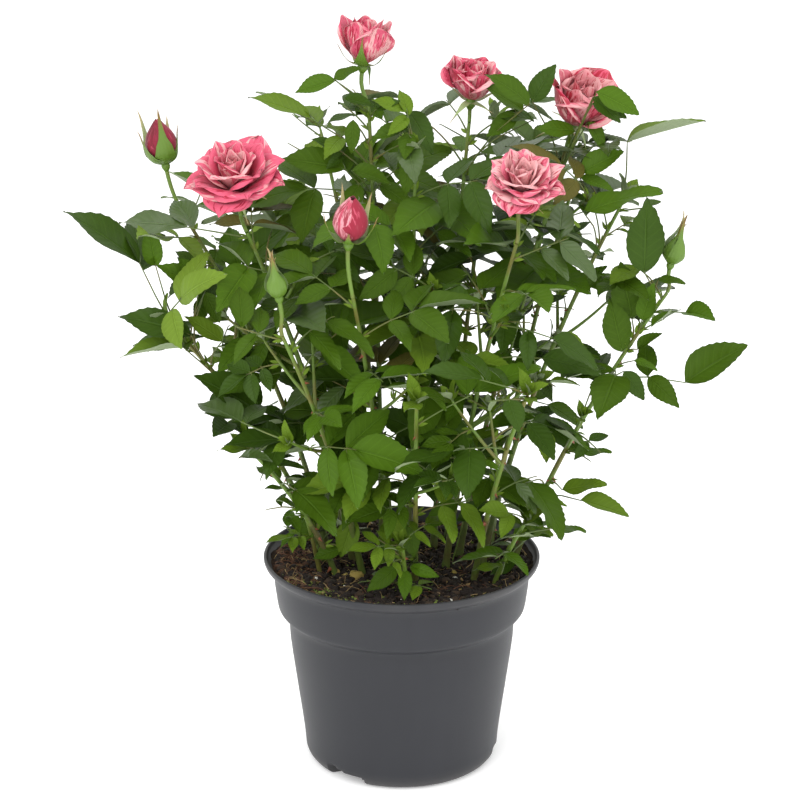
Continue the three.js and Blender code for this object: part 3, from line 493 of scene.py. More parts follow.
def compound_leaf(start, leave, end, tip, leaflets, hint):
    """A bent leaf stalk, an end leaflet and pairs of side leaflets."""
    span = size_of(end - start)
    arc = Path(start, start + leave * span * 0.5, end)
    fork = arc.at(LEAF["fork"])
    upper = fork + (end - fork) * LEAF["upper_at"]
    length = size_of(tip - end)
    line = unit(tip - end)
    face = unit(hint - line * (hint @ line))
    side = cross(line, face)
    blades = [Blade(end, line, face, length, 0, 1, end)]
    pairs = (
        (1, upper, LEAF["upper_pair"], LEAF["upper_spread"]),
        (2, fork, LEAF["lower_pair"], LEAF["lower_spread"]),
    )
    for number, place, share, spread in pairs[: (leaflets - 1) // 2]:
        spread = math.radians(spread)
        for hand in (1, -1):
            way = unit(line * math.cos(spread) + side * hand * math.sin(spread) - face * 0.12)
            up = unit(face - way * (face @ way))
            blades.append(Blade(place + way * 0.4, way, up, length * share, number, hand, place))
    return Leaf(start, arc, fork, end, blades)


def reaches_out(point, stem):
    """Whether a point lies outside the crown, or too far from the stem that bears it."""
    goblet = min(CROWN["foot_radius"] + (point[2] - CROWN["foot_height"]) * CROWN["flare"], CROWN["radius"])
    limit = max(goblet, math.hypot(stem[0], stem[1]) + CROWN["margin"])
    return math.hypot(point[0], point[1] * CROWN["depth"]) > limit or point[2] > CROWN["top"]


def slots_along(path, start, end, random, size, phase, top_share, step=1.0):
    """Where leaves stand along a stem, each turned on from the last."""
    between = LEAF["step"] * step * (LEAF["small_step"] if size < LEAF["small"] else 1)
    count = max(2, math.floor(path.length * (end - start) / between + 0.5))
    slots = []
    for k in range(count):
        share = k / (count - 1)
        t = mix(start, end, min(max((k + 0.25 * (random() - 0.5)) / (count - 1), 0), 1))
        turn = phase + math.radians(LEAF["turn"]) * k
        slots.append(Slot(path.point(t), path.tangent(t), turn, share, size, top_share))
    return slots


def leaf_at(slot, seed, attempt):
    """A slot's leaf: a first choice, and other ways round where that has no room."""
    random = seeded(seed * 31 + attempt)
    start, share = slot.start, slot.share
    turn = slot.turn + math.radians(34 + 40 * min(attempt, 3)) * (random() - 0.5)
    radial = away_from(slot.tangent, turn)
    leave = unit(radial * 0.8 + slot.tangent * 0.6)
    way = radial.copy()
    way[2] = way[2] * 0.4 + mix(-0.06, 0.34, share) + 0.4 * (random() - 0.5)
    way = unit(way)
    reach = LEAF["reach"] * slot.size * mix(1, slot.top_share, share**3) * mix(0.84, 1.1, random())
    for _ in range(3):
        if reaches_out(start + way * reach, start):
            reach *= LEAF["shrink"]
    tip = start + way * reach
    arc = Path(start, start + leave * reach * LEAF["bow"], tip)
    end = arc.at(1 - LEAF["terminal"] * mix(0.95, 1.08, random()))
    hint = UP + FRONT * (LEAF["front"] + 0.9 * (random() - 0.5))
    hint[0] += radial[0] * LEAF["out"] + 0.9 * (random() - 0.5)
    hint[1] += radial[1] * LEAF["out"]
    leaflets = 3 if random() < LEAF["three"] else 5
    if reaches_out(tip, start):
        return None
    return compound_leaf(start, leave, end, tip, leaflets, hint)


def side_shoots(path, cane, random, phase, shoots, step=1.0):
    """Shoots that leave a stem and rise, each with its own slots for leaves."""
    twigs = []
    for k in range(shoots):
        t = mix(cane.bare + 0.16, 0.86, (k + 0.6 * random()) / shoots)
        start, tangent = path.point(t), path.tangent(t)
        turn = phase + 1.1 + 2.4 * k + random()
        radial = away_from(tangent, turn)
        length = mix(34, 52, random())
        way = unit(radial * 0.75 + tangent * 0.65)
        end = start + way * length
        end[2] += length * 0.16
        twig = Path(start, start + way * length * 0.5, end)
        own = slots_along(twig, 0.5, 1, random, cane.size * 0.8, turn + 2, 0.9, step)
        if not reaches_out(end, start):
            twigs.append((twig, own))
    return twigs


def clear_of_pot(shape):
    out = np.hypot(shape.corners[:, 0], shape.corners[:, 1])
    high = shape.corners[:, 2]
    over_lip = (high > POT["height"] + 1) | (out > POT["lip_radius"] + 4)
    return bool(np.where(out < SOIL["flat_radius"] - 1, high > SOIL["level"] + 1, over_lip).all())


def leaflet_shape(leaf, blade):
    """A leaflet's test shape: a kite with a keel, rooted in the leaf's stalk."""
    main = leaf.blades[0]
    aside = cross(main.line, main.face)
    scale = 1 if blade.pair else 0.8

    def root(along, by):
        return blade.place + main.line * along + aside * by * LEAF_STALK["half"] * scale

    low = root(-LEAF_STALK["root"] if blade.pair else 0, blade.hand)
    high = root(LEAF_STALK["root"], blade.hand) if blade.pair else root(0, -1)
    first, last = (low, high) if blade.hand == 1 else (high, low)
    side = cross(blade.line, blade.face)
    middle = blade.foot + blade.line * blade.length * LEAF["widest"]
    half = blade.length * LEAF["width"] * 0.5
    keel = blade.place - main.face * LEAF_STALK["keel"] * scale
    under = middle - blade.face * blade.length * LEAF["thickness"]
    tip = blade.foot + blade.line * blade.length
    corners = np.array([first, middle + side * half, tip, middle - side * half, last, keel, under])
    return Convex(corners, LEAFLET_FACES, LEAFLET_EDGES)


def cane_radius(cane, share):
    flare = CANE["flare"] if share < 0.01 else 1
    return mix(cane.radius, CANE["tip_radius"] + 0.4, share) * flare


def from_front(point):
    """Where a point is seen from the front, on the upright plane through the plant's middle."""
    eye = vec(*FRONT_VIEW)
    seen = eye + (point - eye) * (-eye[1] / (point[1] - eye[1]))
    return seen[0], seen[2]


def flower_frame(flower):
    z = unit(vec(*flower.faces))
    x = unit(cross(vec(0, 1, 0), z))
    return x, cross(z, x), z


class Bush:
    """The whole plant as the solids have it, then finer shoots within the same reach."""

    def __init__(self):
        self.room = Room()
        self.leaves, self.twigs, self.stalks = [], [], []
        self.plants = [(c, True) for c in CANES] + [(c, False) for c in SHOOTS]
        self.paths, self.slots, shoots = {}, {}, {}
        for cane, bough in self.plants:
            random = seeded(cane.seed * 7919)
            path = cane_path(cane)
            phase = random() * 2 * math.pi
            slots = slots_along(path, cane.bare + 0.04, 0.985, random, cane.size, phase, 0.78)
            count = LEAF["shoots"] if cane.size > 0.8 else 0
            shoots[cane.name] = side_shoots(path, cane, random, phase, count)
            self.paths[cane.name], self.slots[cane.name] = path, slots
            self.take_limb(cane, bough, path)
        for flower in FLOWERS:
            self.take_flower(flower)
        for cane, _ in self.plants:
            for twig, own in shoots[cane.name]:
                if self.add_twig(cane, twig, GAP):
                    self.slots[cane.name] += own
        for cane, _ in self.plants:
            self.add_reaching(cane, REACHING, GAP)
        for cane, _ in self.plants:
            for number, slot in enumerate(self.slots[cane.name]):
                self.fill(cane, slot, cane.seed * 1009 + number, GAP)
        self.carry_on()

    def take_limb(self, cane, bough, path):
        start = cane.bare + GAP / path.length if bough else 0
        stem_foot = min(TWIG["foot_radius"], cane.radius) if bough else cane.radius
        rings = CANE["rings"]
        if bough:
            for k in range(rings):
                self.room.take([bar(
                    path, cane.bare * k / rings, cane.bare * (k + 1) / rings,
                    lambda s, k=k: cane_radius(cane, (k + s) / rings), CANE["sides"],
                )], "cane_" + cane.name)
        for k in range(BARS):
            a, b = mix(start, 1, k / BARS), mix(start, 1, (k + 1) / BARS)
            self.room.take([bar(path, a, b, lambda s: stem_foot, 4)], "leaves_" + cane.name)

    def take_flower(self, flower):
        path = self.paths[flower.cane]
        tangent, faces = path.tangent(1), unit(vec(*flower.faces))
        foot = path.point(1) + tangent * GAP
        head = vec(*flower.at) - faces * (flower.height * 0.5 + 3)
        span = size_of(foot - head)
        stalk = Path(foot, foot + tangent * span * 0.4, head - faces * span * 0.35, head + faces * 2)
        self.stalks.append((flower, stalk))
        for k in range(BARS):
            limb = bar(stalk, k / BARS, (k + 1) / BARS, lambda s: FLOWER_STALK, 4)
            self.room.take([limb], flower.name)
        wide = flower.width * 0.64
        x, y, z = flower_frame(flower)
        scaled = SHELL_CORNERS * (wide, wide, flower.height * 0.66 + 2)
        corners = vec(*flower.at) + scaled @ np.array([x, y, z])
        self.room.take([Convex(corners, SHELL_FACES, edges_of(SHELL_FACES))], flower.name)

    def add_twig(self, cane, twig, gap):
        owner = "leaves_" + cane.name
        shapes = [bar(twig, s, s + 0.5, lambda _: TWIG["foot_radius"], 4) for s in (0, 0.5)]
        if not all(clear_of_pot(s) and self.room.free(s, owner, gap) for s in shapes):
            return False
        self.room.take(shapes, owner)
        self.twigs.append((cane, twig))
        return True

    def add_reaching(self, cane, rows, gap):
        path = self.paths[cane.name]
        for item in (Reaching(*row) for row in rows.get(cane.name, ())):
            start, end = path.point(item.at), vec(*item.foot)
            leave = unit(unit(end - start) + path.tangent(item.at) * 0.5)
            hint = UP * (1 - item.facing * 0.7) + FRONT * item.facing
            leaf = compound_leaf(start, leave, end, vec(*item.tip), item.leaflets, hint)
            found = self.room_for(leaf, "leaves_" + cane.name, gap)
            if found and found[1]:
                self.settle(cane, leaf, found, 0.6, True)

    def room_for(self, leaf, owner, gap):
        """A leaf's two bars and the leaflets that find room; None if the bars find none."""
        limbs = ((leaf.start, leaf.fork), (leaf.fork, leaf.end))
        lower, upper = bars = [bar(Path(a, b), 0, 1, lambda s: 1.25, 4) for a, b in limbs]
        free = self.room.free
        if not (clear_of_pot(upper) and free(lower, owner, gap) and free(upper, None, gap)):
            return None
        shapes = [(blade, leaflet_shape(leaf, blade)) for blade in leaf.blades]
        kept = [(b, s) for b, s in shapes if clear_of_pot(s) and free(s, None, gap)]
        return bars, kept

    def settle(self, cane, leaf, found, share, chosen=False):
        bars, kept = found
        self.room.take(bars + [shape for _, shape in kept], f"leaf_{cane.name}_{len(self.leaves)}")
        self.leaves.append(Grown(cane, leaf, [blade for blade, _ in kept], share, chosen))

    def fill(self, cane, slot, seed, gap):
        """Puts the fullest leaf that finds room into a slot."""
        best = None
        for attempt in range(LEAF["tries"]):
            leaf = leaf_at(slot, seed, attempt)
            found = leaf and self.room_for(leaf, "leaves_" + cane.name, gap)
            if found and len(found[1]) > (len(best[1][1]) if best else 1):
                best = (leaf, found)
            if best and len(best[1][1]) == len(best[0].blades):
                break
        if best:
            self.settle(cane, *best, slot.share)

    def carry_on(self):
        """More side shoots and more leaves, in the room that the solids leave."""
        for cane, _ in self.plants:
            self.add_reaching(cane, FILLING, FINER["chosen_gap"])
        for cane, bough in self.plants:
            random = seeded(cane.seed * 104729)
            path = self.paths[cane.name]

            def row(kind, start, end):
                size, top_share, step = ROWS[kind]
                return slots_along(path, start, end, random, size, random() * ANY_PHASE, top_share, step)

            if not bough:
                slots = row("low_shoot", 0.12, 0.95)
            else:
                shoots = side_shoots(path, cane, random, random() * ANY_PHASE, FINER["shoots"], FINER["step"])
                slots = [s for twig, own in shoots if self.add_twig(cane, twig, FINER["gap"]) for s in own]
                slots += row("stem", cane.bare + 0.1, 0.96)
                slots += row("bare_part", 0.1, cane.bare + 0.08)
            for number, slot in enumerate(slots):
                self.fill(cane, slot, cane.seed * 3571 + number, FINER["gap"])
        opened = [g._replace(blades=[b for b in g.blades if self.keeps_clear(g, b)]) for g in self.leaves]
        self.leaves = [g for g in opened if g.blades and (g.chosen or not self.shades_a_bloom(g))]

    def keeps_clear(self, grown, blade):
        """Whether a leaflet stays out of the crown's openings, as seen from the front."""
        if grown.chosen and not blade.pair:
            return True
        for share, half in LEAFLET_SPOTS:
            x, z = from_front(blade.foot + blade.line * blade.length * share)
            reach = blade.length * half * FINER["clearing"]
            if any(math.hypot(x - middle, z - high) < radius + reach for middle, high, radius in OPENINGS):
                return False
        return True

    def shades_a_bloom(self, grown):
        """Whether a leaf would stand before a bloom, on the side that blooms turn to."""
        for flower in FLOWERS:
            at = vec(*flower.at) + (0, 0, 4)
            way = unit(vec(*FRONT_VIEW) - at)
            for blade in grown.blades:
                for share in (0.3, 0.7):
                    away = blade.foot + blade.line * blade.length * share - at
                    before = away @ way
                    aside = size_of(away - way * before)
                    if before > 0 and aside < flower.width * 0.5 + blade.length * 0.16:
                        return True
        return False


# ---- meshes from many small shapes


class Heap:
    """Small shapes gathered into one mesh. Places are in millimetres."""

    def __init__(self):
        self.count = 0
        self.verts, self.loops, self.sizes, self.uvs, self.kinds = [], [], [], [], []

    def add(self, verts, shape, kind=None):
        """verts: one set of corners, or many sets of the same shape."""
        verts = np.asarray(verts, float)
        verts = verts[None] if verts.ndim == 2 else verts
        many, each = verts.shape[:2]
        steps = self.count + each * np.arange(many)[:, None]
        self.verts.append(verts.reshape(-1, 3))
        self.loops.append((shape.loops[None] + steps).ravel())
        self.sizes.append(np.tile(shape.sizes, many))
        self.uvs.append(np.tile(shape.uv, (many, 1)))
        kinds = shape.kinds if kind is None else np.full(len(shape.sizes), kind)
        self.kinds.append(np.tile(kinds, many))
        self.count += many * each

    def limb(self, points, radii, sides, kind=0, relief=None):
        self.add(tube(points, radii, sides, relief), tube_shape(sides, len(points)), kind)

    def build(self, name, materials, slot, replaces=(), sharp=60, maps=("own",)):
        """Makes the gathered shapes one piece; sharp is the angle from which an edge stays crisp."""
        loops, sizes = np.concatenate(self.loops), np.concatenate(self.sizes)
        mesh = bpy.data.meshes.new(name)
        mesh.vertices.add(self.count)
        mesh.vertices.foreach_set("co", (np.concatenate(self.verts) * MM).ravel())
        mesh.loops.add(len(loops))
        mesh.loops.foreach_set("vertex_index", loops.astype(np.int32))
        mesh.polygons.add(len(sizes))
        mesh.polygons.foreach_set("loop_start", np.concatenate([[0], np.cumsum(sizes)[:-1]]).astype(np.int32))
        for material in materials:
            mesh.materials.append(material)
        mesh.polygons.foreach_set("material_index", np.concatenate(self.kinds).astype(np.int32))
        uv = np.concatenate(self.uvs).astype(np.float32).ravel()
        for label in maps:
            mesh.uv_layers.new(name=label).data.foreach_set("uv", uv)
        mesh.update(calc_edges=True)
        mesh.validate()
        dress(name, mesh, replaces, sharp)


def dress(name, mesh, replaces, sharp):
    """Makes a finished mesh a piece that rides on the root."""
    mesh.shade_smooth()
    mesh.set_sharp_from_angle(angle=math.radians(sharp))
    piece = bpy.data.objects.new(name, mesh)
    bpy.context.scene.collection.objects.link(piece)
    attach(piece, "root")
    if replaces:
        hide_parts(*replaces)


Shape = namedtuple("Shape", "verts loops sizes uv kinds")


def shape_of(bm, uv_name=None):
    """A bmesh's corners and faces as arrays."""
    bm.verts.index_update()
    layer = bm.loops.layers.uv.get(uv_name) if uv_name else None
    loops = [loop for face in bm.faces for loop in face.loops]
    shape = Shape(
        np.array([v.co for v in bm.verts], float),
        np.array([loop.vert.index for loop in loops]),
        np.array([len(face.verts) for face in bm.faces]),
        np.array([loop[layer].uv if layer else (0, 0) for loop in loops], float),
        np.array([face.material_index for face in bm.faces]),
    )
    bm.free()
    return shape


@functools.lru_cache(None)
def tube_shape(sides, rings):
    """The faces of a tube closed at both ends, with its length along v."""
    loops, sizes, uv = [], [], []
    for row in range(rings - 1):
        for k in range(sides):
            a, b = row * sides + k, row * sides + (k + 1) % sides
            loops += [a, b, b + sides, a + sides]
            low, high = row / (rings - 1), (row + 1) / (rings - 1)
            uv += [(k / sides, low), ((k + 1) / sides, low), ((k + 1) / sides, high), (k / sides, high)]
            sizes.append(4)
    for ring, order in ((0, range(sides - 1, -1, -1)), (rings - 1, range(sides))):
        loops += [ring * sides + k for k in order]
        uv += [(0.5, ring / (rings - 1))] * sides
        sizes.append(sides)
    return Shape(None, np.array(loops), np.array(sizes), np.array(uv, float), np.zeros(len(sizes), int))


def tube(points, radii, sides, relief=None):
    """The corners of a tube along points; relief gives an extra radius at each corner."""
    points, radii = np.asarray(points, float), np.asarray(radii, float)
    way = np.gradient(points, axis=0)
    way /= np.linalg.norm(way, axis=1)[:, None]
    guide = np.eye(3)[np.argmin(np.abs(way.mean(0)))]
    u = np.cross(way, guide)
    u /= np.linalg.norm(u, axis=1)[:, None]
    v = np.cross(way, u)
    turn = 2 * math.pi * np.arange(sides) / sides
    radii = np.repeat(radii[:, None], sides, 1)
    if relief is not None:
        radii = radii + relief
    ring = u[:, None] * np.cos(turn)[:, None] + v[:, None] * np.sin(turn)[:, None]
    return (points[:, None] + ring * radii[..., None]).reshape(-1, 3)


# ---- leaflets


def with_underside(bm, sink, shift):
    """Closes an open sheet with a lower face, sunk below it and joined to it round the rim."""
    upper = bm.faces[:]
    if sum(face.normal.z for face in upper) < 0:
        bmesh.ops.reverse_faces(bm, faces=upper)
    rim = {v for e in bm.edges if e.is_boundary for v in e.verts}
    copied = bmesh.ops.duplicate(bm, geom=bm.verts[:] + bm.edges[:] + upper)
    under = [g for g in copied["geom"] if isinstance(g, bmesh.types.BMFace)]
    bmesh.ops.reverse_faces(bm, faces=under)
    kept = {copied["vert_map"][v] for v in rim}
    for v in {v for face in under for v in face.verts} - kept:
        v.co.z -= sink(v.co.y)
    layer = bm.loops.layers.uv["own"]
    for face in under:
        face.material_index = 1
        for loop in face.loops:
            loop[layer].uv.x += shift
    bmesh.ops.remove_doubles(bm, verts=[v for v in bm.verts if v in rim or v in kept], dist=1e-5)
    return shape_of(bm, "own")


def leaflet_outline(t):
    """Half a leaflet's width along it, as a share of the widest."""
    places = (0, 0.04, 0.1, 0.18, 0.28, 0.4, 0.52, 0.64, 0.75, 0.85, 0.93, 1)
    widths = (0.05, 0.27, 0.54, 0.77, 0.94, 1, 0.96, 0.83, 0.63, 0.38, 0.17, 0)
    return np.interp(t, places, widths)


def leaflet_template(width, fold, arch, wave, skew=0, rows=20, tooth=0.011):
    """A toothed leaflet one long, with its midrib along Y and its upper face to +Z.

    Its upper face has the left half of its map and its underside the right half.
    """
    bm = bmesh.new()
    bmesh.ops.create_grid(bm, x_segments=2, y_segments=rows, size=0.5)
    layer = bm.loops.layers.uv.new("own")
    for loop in (loop for face in bm.faces for loop in face.loops):
        loop[layer].uv = (0.25 + 0.44 * loop.vert.co.x, 0.495 + 0.95 * loop.vert.co.y)
    for v in bm.verts:
        s, t = v.co.x * 2, v.co.y + 0.5
        x = s * 0.5 * width * float(leaflet_outline(t)) + skew * t * t
        if abs(s) > 0.5 and round(t * rows) % 2:
            x += math.copysign(tooth, s)
            t += 0.008
        lift = fold * abs(x) * (1 - 0.4 * t)
        sag = arch * (t * t - 0.5 * t)
        ripple = wave * s * s * math.sin(9.0 * t + (2.1 if s > 0 else 0))
        v.co = (x, t * (1 - 0.06 * arch), lift - sag + ripple)
    bmesh.ops.remove_doubles(bm, verts=bm.verts, dist=1e-4)
    return with_underside(bm, lambda y: 0.002 + 0.012 * min(y, 1 - y), 0.5)


# ---- materials


# a leaflet's veins: pairs of side veins, the midrib's edge on the bump and on the colour, and how much
# the side veins show on the upper face and on the underside
VEIN = {"pairs": 8.0, "midrib": (0.09, 0.02), "midrib_line": (0.055, 0.02), "upper": 0.24, "under": 0.35}


DUST, RED_PEAT = (112, 108, 104), (78, 54, 40)


class Value:
    """A number somewhere in a material: Python's operators add its Math nodes."""

    def __init__(self, paint, socket):
        self.paint, self.socket = paint, socket

    def __add__(self, other):
        return self.paint.maths("ADD", self, other)

    def __sub__(self, other):
        return self.paint.maths("SUBTRACT", self, other)

    def __rsub__(self, other):
        return self.paint.maths("SUBTRACT", other, self)

    def __mul__(self, other):
        return self.paint.maths("MULTIPLY", self, other)

    def __truediv__(self, other):
        return self.paint.maths("DIVIDE", self, other)

    def __pow__(self, other):
        return self.paint.maths("POWER", self, other)

    __radd__, __rmul__ = __add__, __mul__

    def absolute(self):
        return self.paint.maths("ABSOLUTE", self)

    def fraction(self):
        return self.paint.maths("FRACT", self)

    def whole(self):
        return self.paint.maths("FLOOR", self)

    def clipped(self):
        return self.paint.maths("MINIMUM", self.paint.maths("MAXIMUM", self, 0.0), 1.0)

    def step(self, low, high):
        """0 below low, 1 above high, with a soft change between; high may be the lower one."""
        settings = {"interpolation_type": "SMOOTHSTEP"}
        inputs = {"Value": self, "From Min": low, "From Max": high, "To Min": 0.0, "To Max": 1.0}
        if low > high:
            inputs.update({"From Min": high, "From Max": low, "To Min": 1.0, "To Max": 0.0})
        return Value(self.paint, self.paint.node("ShaderNodeMapRange", settings, inputs).outputs["Result"])


def linear(colour):
    """A screen colour, 0 to 255, as the shader's numbers."""
    parts = [c / 255 for c in colour]
    return tuple(c / 12.92 if c <= 0.04045 else ((c + 0.055) / 1.055) ** 2.4 for c in parts) + (1.0,)


def tone(colour, factor, more=0.0):
    """A screen colour made lighter or darker, as the shader's numbers."""
    return tuple(min(1.0, c * factor + more) for c in linear(colour)[:3]) + (1.0,)


class Paint:
    """One material, put together from nodes."""

    def __init__(self, name):
        self.material = bpy.data.materials.new(name)
        self.material.use_nodes = True
        self.tree = self.material.node_tree
        self.shader = self.tree.nodes["Principled BSDF"]

    def node(self, kind, settings=None, inputs=None):
        node = self.tree.nodes.new(kind)
        for key, value in (settings or {}).items():
            setattr(node, key, value)
        for key, value in (inputs or {}).items():
            self.feed(node.inputs[key], value)
        return node

    def feed(self, socket, value):
        value = value.socket if isinstance(value, Value) else value
        if isinstance(value, bpy.types.NodeSocket):
            self.tree.links.new(value, socket)
        else:
            socket.default_value = value

    def maths(self, operation, *values):
        node = self.node("ShaderNodeMath", {"operation": operation}, dict(enumerate(values)))
        return Value(self, node.outputs[0])

    def greater(self, a, b):
        return self.maths("MAXIMUM", a, b)

    def blend(self, factor, a, b):
        """Colour a where factor is 0, colour b where it is 1."""
        node = self.node("ShaderNodeMix", {"data_type": "RGBA"})
        for place, value in ((0, factor), (6, a), (7, b)):
            self.feed(node.inputs[place], value)
        return node.outputs[2]

    def split(self, vector):
        return [Value(self, out) for out in self.node("ShaderNodeSeparateXYZ", None, {0: vector}).outputs]

    def own_map(self):
        """The piece's own map, as two numbers."""
        return self.split(self.node("ShaderNodeUVMap", {"uv_map": "own"}).outputs[0])[:2]

    def place(self):
        """Object coordinates, as a vector and as three numbers, in metres."""
        vector = self.node("ShaderNodeTexCoord").outputs["Object"]
        return vector, self.split(vector)

    def vector(self, x, y, z):
        return self.node("ShaderNodeCombineXYZ", None, {0: x, 1: y, 2: z}).outputs[0]

    def noise(self, vector, scale, detail, roughness):
        inputs = {"Vector": vector, "Scale": scale, "Detail": detail, "Roughness": roughness}
        return Value(self, self.node("ShaderNodeTexNoise", None, inputs).outputs["Fac"])

    def bump(self, height, strength, distance):
        inputs = {"Height": height, "Strength": strength, "Distance": distance}
        self.feed(self.shader.inputs["Normal"], self.node("ShaderNodeBump", None, inputs).outputs[0])

    def finish(self, **sockets):
        """Feeds the shader's sockets, by their names with _ for a space."""
        for key, value in sockets.items():
            self.feed(self.shader.inputs[key.replace("_", " ")], value)
        return self.material


def vein_marks(paint, middle):
    """A leaflet's marks, from 0 to 1, with its midrib at middle on the map.

    How far aside and how far along, then the midrib, the side veins and how near the two veins' middle.
    """
    u, v = paint.own_map()
    aside = ((u - middle) / 0.22).absolute()
    between = (((v - aside * 0.2) * VEIN["pairs"]).fraction() - 0.5).absolute()
    return aside, v, aside.step(*VEIN["midrib"]), between.step(0.12, 0.0) * aside.step(1.0, 0.7), between


def leaf_material(name, colour, rough, shine):
    """A leaflet's upper face: darker towards tip and margin, with pale veins and a swell between them."""
    paint = Paint(name)
    aside, along, midrib, side, between = vein_marks(paint, 0.25)
    shade = aside.step(0.5, 1.0) * 0.3 + along.step(0.75, 1.0) * 0.25 + aside.step(0.2, 0.08) * 0.25
    base = paint.blend(shade.clipped(), linear(colour), tone(colour, 0.72))
    mask = paint.greater(aside.step(*VEIN["midrib_line"]) * 0.5, side * VEIN["upper"])
    paint.bump((1.0 - between) * 0.6 - midrib * 1.2, 0.45, 0.0008)
    pale = tone(colour, 1.55, 0.004)
    return paint.finish(Base_Color=paint.blend(mask, base, pale), Roughness=rough, Specular_IOR_Level=shine)


def underside_material(name, colour):
    """A leaflet's underside: matt and pale, with raised veins."""
    paint = Paint(name)
    _, _, midrib, side, _ = vein_marks(paint, 0.75)
    mask = paint.greater(midrib, side * VEIN["under"])
    paint.bump(mask, 0.6, 0.0007)
    base = paint.blend(mask, linear(colour), tone(colour, 1.25, 0.01))
    return paint.finish(Base_Color=base, Roughness=0.65, Specular_IOR_Level=0.25)


def petal_material(name, pink, cream, crimson, cream_share, crimson_share, heart=0.0):
    """Petals striped along their length; the whole part of u tells one petal from the next.

    heart: how much lighter the inner petals are.
    """
    paint = Paint(name)
    u, v = paint.own_map()
    number, aside = u.whole(), u.fraction()
    chance = paint.node("ShaderNodeTexWhiteNoise", {"noise_dimensions": "1D"}, {"W": number})
    lot = Value(paint, chance.outputs[0])
    fan = (aside - 0.5) * (1.25 - v * 0.35)
    wide = paint.noise(paint.vector(fan * 5.5, v * 1.3, number * 3.7), 1.0, 3.0, 0.6)
    fine = paint.noise(paint.vector(fan * 13.0, v * 2.2, number * 5.3 + 40.0), 1.0, 3.0, 0.6)
    flecks = paint.noise(paint.vector(fan * 30.0, v * 7.0, number * 2.9 + 90.0), 1.0, 2.0, 0.6)
    shift = (lot - 0.5) * 0.16
    # broad light stripes, a light heart, and crimson at each petal's foot as painted shade for the crevices
    # deep in the bloom
    light = (wide + shift).step(0.6 - cream_share, 0.66 - cream_share)
    colour = paint.blend(light * 0.9, linear(pink), linear(cream))
    colour = paint.blend(number.step(12.0, 5.0) * heart, colour, linear(cream))
    # painted shade: crimson towards each petal's foot, where the petals crowd together in the bloom
    colour = paint.blend(v.step(0.6, 0.2) * 0.6, colour, linear(crimson))
    # fine dark stripes and flecks, and some petals with a light margin
    dark = (fine - shift).step(0.7 - crimson_share, 0.76 - crimson_share)
    dark = paint.greater(dark, flecks.step(0.76 - crimson_share, 0.8 - crimson_share) * 0.75)
    colour = paint.blend(dark * v.step(0.0, 0.3) * 0.92, colour, linear(crimson))
    edge = paint.greater((aside - 0.5).absolute().step(0.42, 0.5), v.step(0.93, 1.0))
    colour = paint.blend(edge * lot * 0.7, colour, linear(cream))
    paint.bump(fine * 0.6 + flecks * 0.4, 0.35, 0.0008)
    return paint.finish(Base_Color=colour, Roughness=0.55, Sheen_Weight=0.1, Specular_IOR_Level=0.3)


def stem_material(name, colour, tint, rough):
    """Green bark with a tint that comes and goes along the limb."""
    paint = Paint(name)
    vector, _ = paint.place()
    broad = paint.noise(vector, 38.0, 3.0, 0.6)
    grain = paint.noise(vector, 900.0, 2.0, 0.6)
    base = paint.blend(broad.step(0.46, 0.66) * 0.75, linear(colour), linear(tint))
    paint.bump(grain, 0.25, 0.0006)
    return paint.finish(Base_Color=base, Roughness=rough)


def sepal_material(name, colour, tip):
    """Green that reddens towards each sepal's tip."""
    paint = Paint(name)
    u, v = paint.own_map()
    ribs = ((u * 5.0).fraction() - 0.5).absolute()
    paint.bump(ribs, 0.3, 0.0005)
    base = paint.blend(v.step(0.62, 0.95) * 0.8, linear(colour), linear(tip))
    return paint.finish(Base_Color=base, Roughness=0.5)


def plain_material(name, colour, rough):
    """One colour with a grain."""
    paint = Paint(name)
    vector, _ = paint.place()
    grain = paint.noise(vector, 700.0, 3.0, 0.7)
    paint.bump(grain, 0.5, 0.0006)
    return paint.finish(Base_Color=linear(colour), Roughness=rough)


def pot_material(name, colour):
    """Recycled plastic, satin, with a faint grain, flow marks and a little rubbed dust."""
    paint = Paint(name)
    vector, (x, y, z) = paint.place()
    broad = paint.noise(vector, 9.0, 4.0, 0.6)
    tall = paint.noise(paint.vector(x * 90.0, y * 90.0, z * 6.0), 1.0, 2.0, 0.5)
    grain = paint.noise(vector, 2600.0, 2.0, 0.7)
    marks = (broad.step(0.35, 0.75) * 0.5 + tall.step(0.4, 0.7) * 0.2).clipped()
    base = paint.blend(marks, linear(colour), tone(colour, 1.22))
    dusty = z.step(0.118, 0.131) * broad.step(0.3, 0.7) * 0.25 + z.step(0.012, 0.0) * 0.2
    base = paint.blend(dusty, base, linear(DUST))
    paint.bump(grain * 0.5 + tall * 0.5, 0.12, 0.0006)
    return paint.finish(Base_Color=base, Roughness=broad * 0.12 + 0.4, Specular_IOR_Level=0.3)


def soil_material(name, dark, brown, moss):
    """Damp peat with drier clods, reddish at the left and mossy along the front of the rim."""
    paint = Paint(name)
    vector, (x, y, _) = paint.place()
    clods = paint.noise(vector, 190.0, 5.0, 0.7)
    broad = paint.noise(vector, 26.0, 3.0, 0.6)
    base = paint.blend(clods.step(0.42, 0.66), linear(dark), linear(brown))
    red = x.step(-0.056, -0.075) * broad.step(0.4, 0.6) * 0.5
    base = paint.blend(red, base, linear(RED_PEAT))
    out = (x * x + y * y) ** 0.5
    green = out.step(0.055, 0.074) * y.step(-0.02, -0.05) * clods.step(0.46, 0.6) * 0.8
    base = paint.blend(green, base, linear(moss))
    paint.bump(clods, 1.0, 0.0022)
    return paint.finish(Base_Color=base, Roughness=0.95, Specular_IOR_Level=0.15)


# ---- the scene's own sizes and colours


def colour_of(default, name, description):
    return bpy.props.FloatVectorProperty(
        name=name, description=description, subtype="COLOR_GAMMA", size=3, min=0, max=1,
        default=tuple(c / 255 for c in default),
    )


def screen(colour):
    """A setting's colour, as a screen colour from 0 to 255."""
    return tuple(c * 255 for c in colour)


